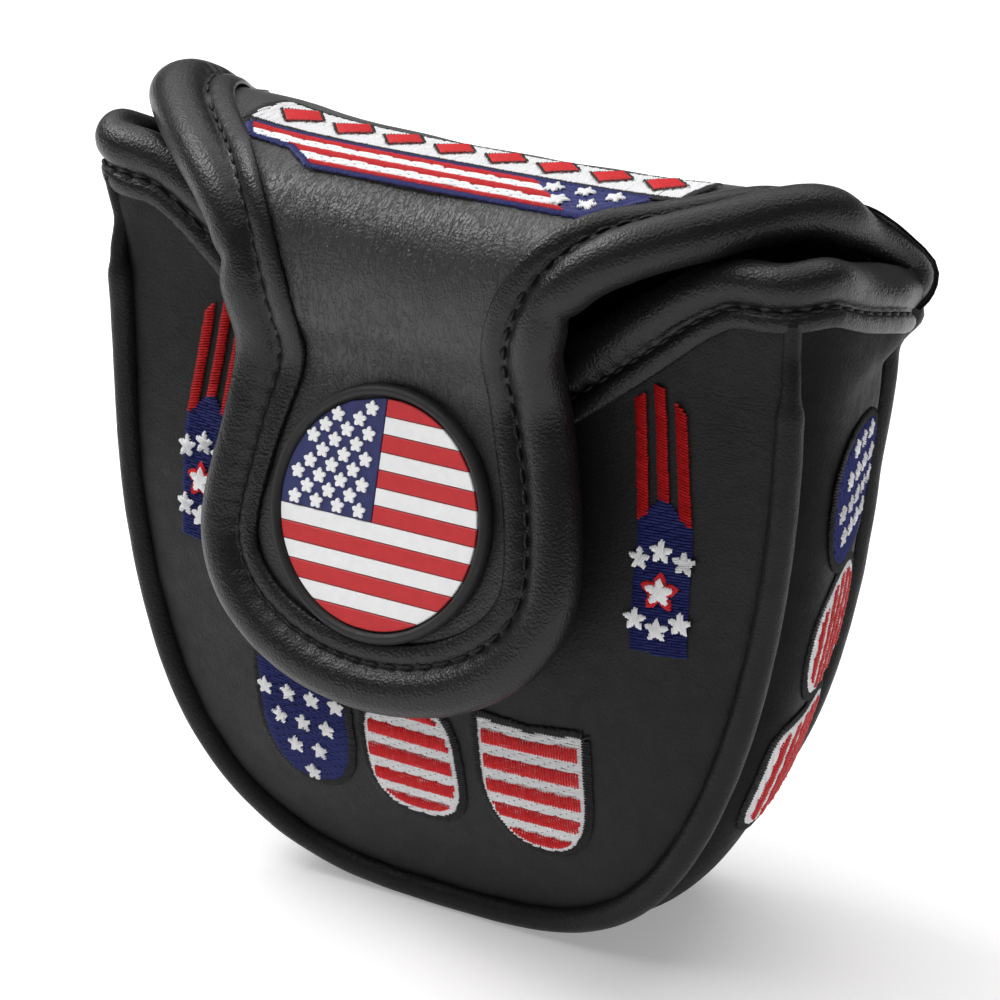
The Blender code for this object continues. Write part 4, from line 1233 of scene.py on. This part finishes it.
CROWN_Q = np.linspace(1.0, 7.5, 400)
CROWN_Y = flap_row(CROWN_Q)[0]


def on_crown(x, y, height):
    q = np.interp(-y, -CROWN_Y, CROWN_Q)
    return flap_surface(q, x) + flap_normal(q, x) * height[:, None]


def build_side_motif(sign, start, name, node):
    """Three satin bars over a navy panel with stars, which begins at start from the middle."""

    def place(u, z, height):
        return on_front(sign * (start + u - 0.15 * np.maximum(z - 74.0, 0.0)), z, height)

    work = Embroidery(place)
    for bar in (((0.0, 76.0), (1.9, 77.4), (1.9, 94.6), (0.0, 93.4)),
                ((3.45, 79.4), (5.3, 79.4), (5.3, 95.9), (3.45, 95.9)),
                ((6.8, 77.4), (8.7, 76.0), (8.7, 92.4), (6.8, 94.4))):
        work.fill(np.array(bar), math.radians(-14.0), LONG_STITCH, "red", 0.62, 0.36, 0.38, pitch=0.42)
    panel = np.array(((0.0, 56.4), (8.7, 56.4), (8.7, 76.2), (4.4, 80.2), (0.0, 76.2)))
    work.fill(panel, math.radians(1.5), 3.4, "navy", 0.42, 0.30, 0.42)
    for x, z, radius in ((0.8, 70.6, 1.8), (4.1, 72.1, 1.95), (7.7, 70.9, 1.95),
                         (0.8, 61.5, 1.9), (4.2, 60.3, 1.95), (7.6, 61.6, 1.95)):
        work.star((x, z), radius, 0.85)
    for colour, radius, waist, angle, base in (("red", 3.1, 0.48, 0.9, 0.80),
                                               ("white", 2.25, 0.45, 2.1, 1.05)):
        outline = star_outline((4.3, 66.1), radius, waist, 50, 0.9)
        work.fill(outline, angle, LONG_STITCH, colour, base, 0.20, pitch=0.30)
    work.finish(name, node, "red_thread")


def build_emblems():
    """The motifs low on the front, left to right, and down the gusset."""
    for place, style, outline, sizes, name, node in (
            (on_front, starry, shield((-20.6, 30.2), 8.6, 10.4), (1.65, 4.7),
             "star_shield", "front_emblem_left"),
            (on_front, striped, roundel((-0.3, 29.6), 8.4, 10.4), (4.3, 0.58),
             "striped_roundel", "front_emblem_middle"),
            (on_front, striped, shield((21.6, 29.6), 8.9, 11.0), (4.3, 0.58),
             "striped_shield", "front_emblem_right"),
            (on_gusset, starry, roundel((1.3, 78.0), 11.0, 10.4, 2.6), (1.6, 4.3),
             "gusset_star", "gusset_emblem_top"),
            (on_gusset, striped, roundel((0.5, 56.5), 10.5, 9.6, 2.4), (4.0, 0.52),
             "gusset_roundel", "gusset_emblem_middle"),
            (on_gusset, striped, roundel((-2.2, 35.6), 10.8, 8.8, 5.0), (4.0, 0.52),
             "gusset_patch", "gusset_emblem_bottom")):
        work = Embroidery(place)
        style(work, outline, *sizes, place is on_front)
        work.finish(name + "_threads", node, "navy_thread" if style is starry else "red_thread")


def build_crown_ribbon():
    """A ribbon of lozenges and stripes with a starry end, across the crown."""
    work = Embroidery(on_crown)
    band = np.array(((-37.5, -12.0), (37.5, -12.0), (38.5, -1.5), (-38.5, -1.5)))
    work.edge(closed_ring(band, 30), 0.4, 1.0, "black", *OUTLINE_THREAD)
    work.fill(band, math.pi / 2, 3.8, "white", 0.45, 0.18)
    for k in range(8):
        x = -32.4 + 9.25 * k
        lozenge = np.array(((x - 3.6, -6.5), (x, -10.4), (x + 3.6, -6.5), (x, -2.6)))
        work.fill(lozenge, 0.35, LONG_STITCH, "red", 0.78, 0.20)
        work.edge(closed_ring(lozenge, 12), 0.1, 0.35, "black", 0.80, 0.12, 0.36)
    field = np.array(((-36.0, -13.4), (33.0, -13.4), (28.0, -21.6), (-20.0, -21.6), (-26.0, -17.4),
                      (-34.0, -16.6)))
    work.edge(closed_ring(field, 40), 0.2, 1.0, "navy", 0.45, 0.18, 0.42)

    def striped_end(x, y):
        return x < 14.0 - 1.2 * (y + 13.4)

    for k in range(5):
        high = -13.2 - 1.85 * k
        colour, angle, base = ("white", 0.05, 0.50) if k % 2 else ("red", math.pi / 2, 0.58)
        work.fill(field, angle, 3.6, colour, base, 0.18,
                  where=lambda x, y: (y < high) & (y > high - 1.85) & striped_end(x, y))
    work.fill(field, 0.0, 3.4, "navy", 0.48, 0.18, where=lambda x, y: ~striped_end(x, y))
    for centre in ((18.6, -15.6), (23.8, -15.4), (29.0, -15.6), (26.4, -19.2), (21.6, -19.2)):
        work.star(centre, 1.7, 0.85)
    work.finish("crown_ribbon_threads", "crown_ribbon", "red_thread", ("flap_crown",))


# ---------------------------------------------------------------- set


def finish_cad_pieces():
    for node in ("panel_magnet", "flap_magnet"):
        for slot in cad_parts[node].material_slots:
            slot.material = MATERIALS["magnet"]


def build_floor():
    corners = [(-3.0, -3.0, -0.0001), (3.0, -3.0, -0.0001), (3.0, 3.0, -0.0001), (-3.0, 3.0, -0.0001)]
    mesh = bpy.data.meshes.new("floor")
    mesh.from_pydata(corners, [], [(0, 1, 2, 3)])
    paper = Surface("floor_paper", (0.93, 0.93, 0.93), 0.9, specular=0.1)
    paper.fill(paper.shader, {"Emission Color": (1.0, 1.0, 1.0, 1.0), "Emission Strength": 0.30})
    mesh.materials.append(paper.made)
    add_object("floor", mesh)


def add_light(name, kind, place, target, energy, **settings):
    data = bpy.data.lights.new(name, kind)
    data.energy = energy
    for key, value in settings.items():
        setattr(data, key, value)
    obj = add_object(name, data)
    obj.location = place
    obj.rotation_euler = (Vector(target) - Vector(place)).to_track_quat("-Z", "Y").to_euler()


def build_lights():
    world = bpy.data.worlds.new("studio")
    world.use_nodes = True
    background = world.node_tree.nodes["Background"]
    background.inputs["Color"].default_value = (1.0, 1.0, 1.0, 1.0)
    background.inputs["Strength"].default_value = 0.13
    bpy.context.scene.world = world
    add_light("sky", "SUN", (-0.38, 0.14, 1.0), (0.0, 0.0, 0.0), 2.3, angle=math.radians(95.0))
    centre = (0.0, 0.0, 0.06)
    add_light("key", "AREA", (-0.75, -0.10, 0.95), centre, 6.6, shape="RECTANGLE", size=0.55, size_y=0.40)
    add_light("rim", "AREA", (0.30, 0.80, 0.90), centre, 0.8, shape="RECTANGLE", size=0.60, size_y=0.35)


def build_camera():
    bpy.context.scene.view_settings.view_transform = "Standard"
    data = bpy.data.cameras.new("camera")
    data.lens = CAMERA_LENS
    data.sensor_width = 36.0
    data.shift_x, data.shift_y = CAMERA_SHIFT
    data.clip_start, data.clip_end = 0.01, 20.0
    azimuth, elevation, roll = map(math.radians, (CAMERA_AZIMUTH, CAMERA_ELEVATION, CAMERA_ROLL))
    back = Vector((math.sin(azimuth) * math.cos(elevation), -math.cos(azimuth) * math.cos(elevation),
                   math.sin(elevation)))
    right = Vector((math.cos(azimuth), math.sin(azimuth), 0.0))
    up = back.cross(right)
    x_axis = right * math.cos(roll) + up * math.sin(roll)
    y_axis = up * math.cos(roll) - right * math.sin(roll)
    matrix = Matrix((x_axis, y_axis, back)).transposed().to_4x4()
    matrix.translation = (Vector(CAMERA_TARGET) + back * CAMERA_DISTANCE) * MM
    camera = add_object("camera", data)
    camera.matrix_world = matrix
    bpy.context.scene.camera = camera


build_panel(FRONT, "front")
build_panel(BACK, "back")
build_gusset()
build_piping(FRONT, "front_piping")
build_piping(BACK, "back_piping")
build_mouth()
build_flap_binding()
build_flap()
build_badge()
build_side_motif(-1.0, 36.3, "left_motif_threads", "side_motif_left")
build_side_motif(1.0, 37.8, "right_motif_threads", "side_motif_right")
build_emblems()
build_crown_ribbon()
finish_cad_pieces()
build_floor()
build_lights()
build_camera()
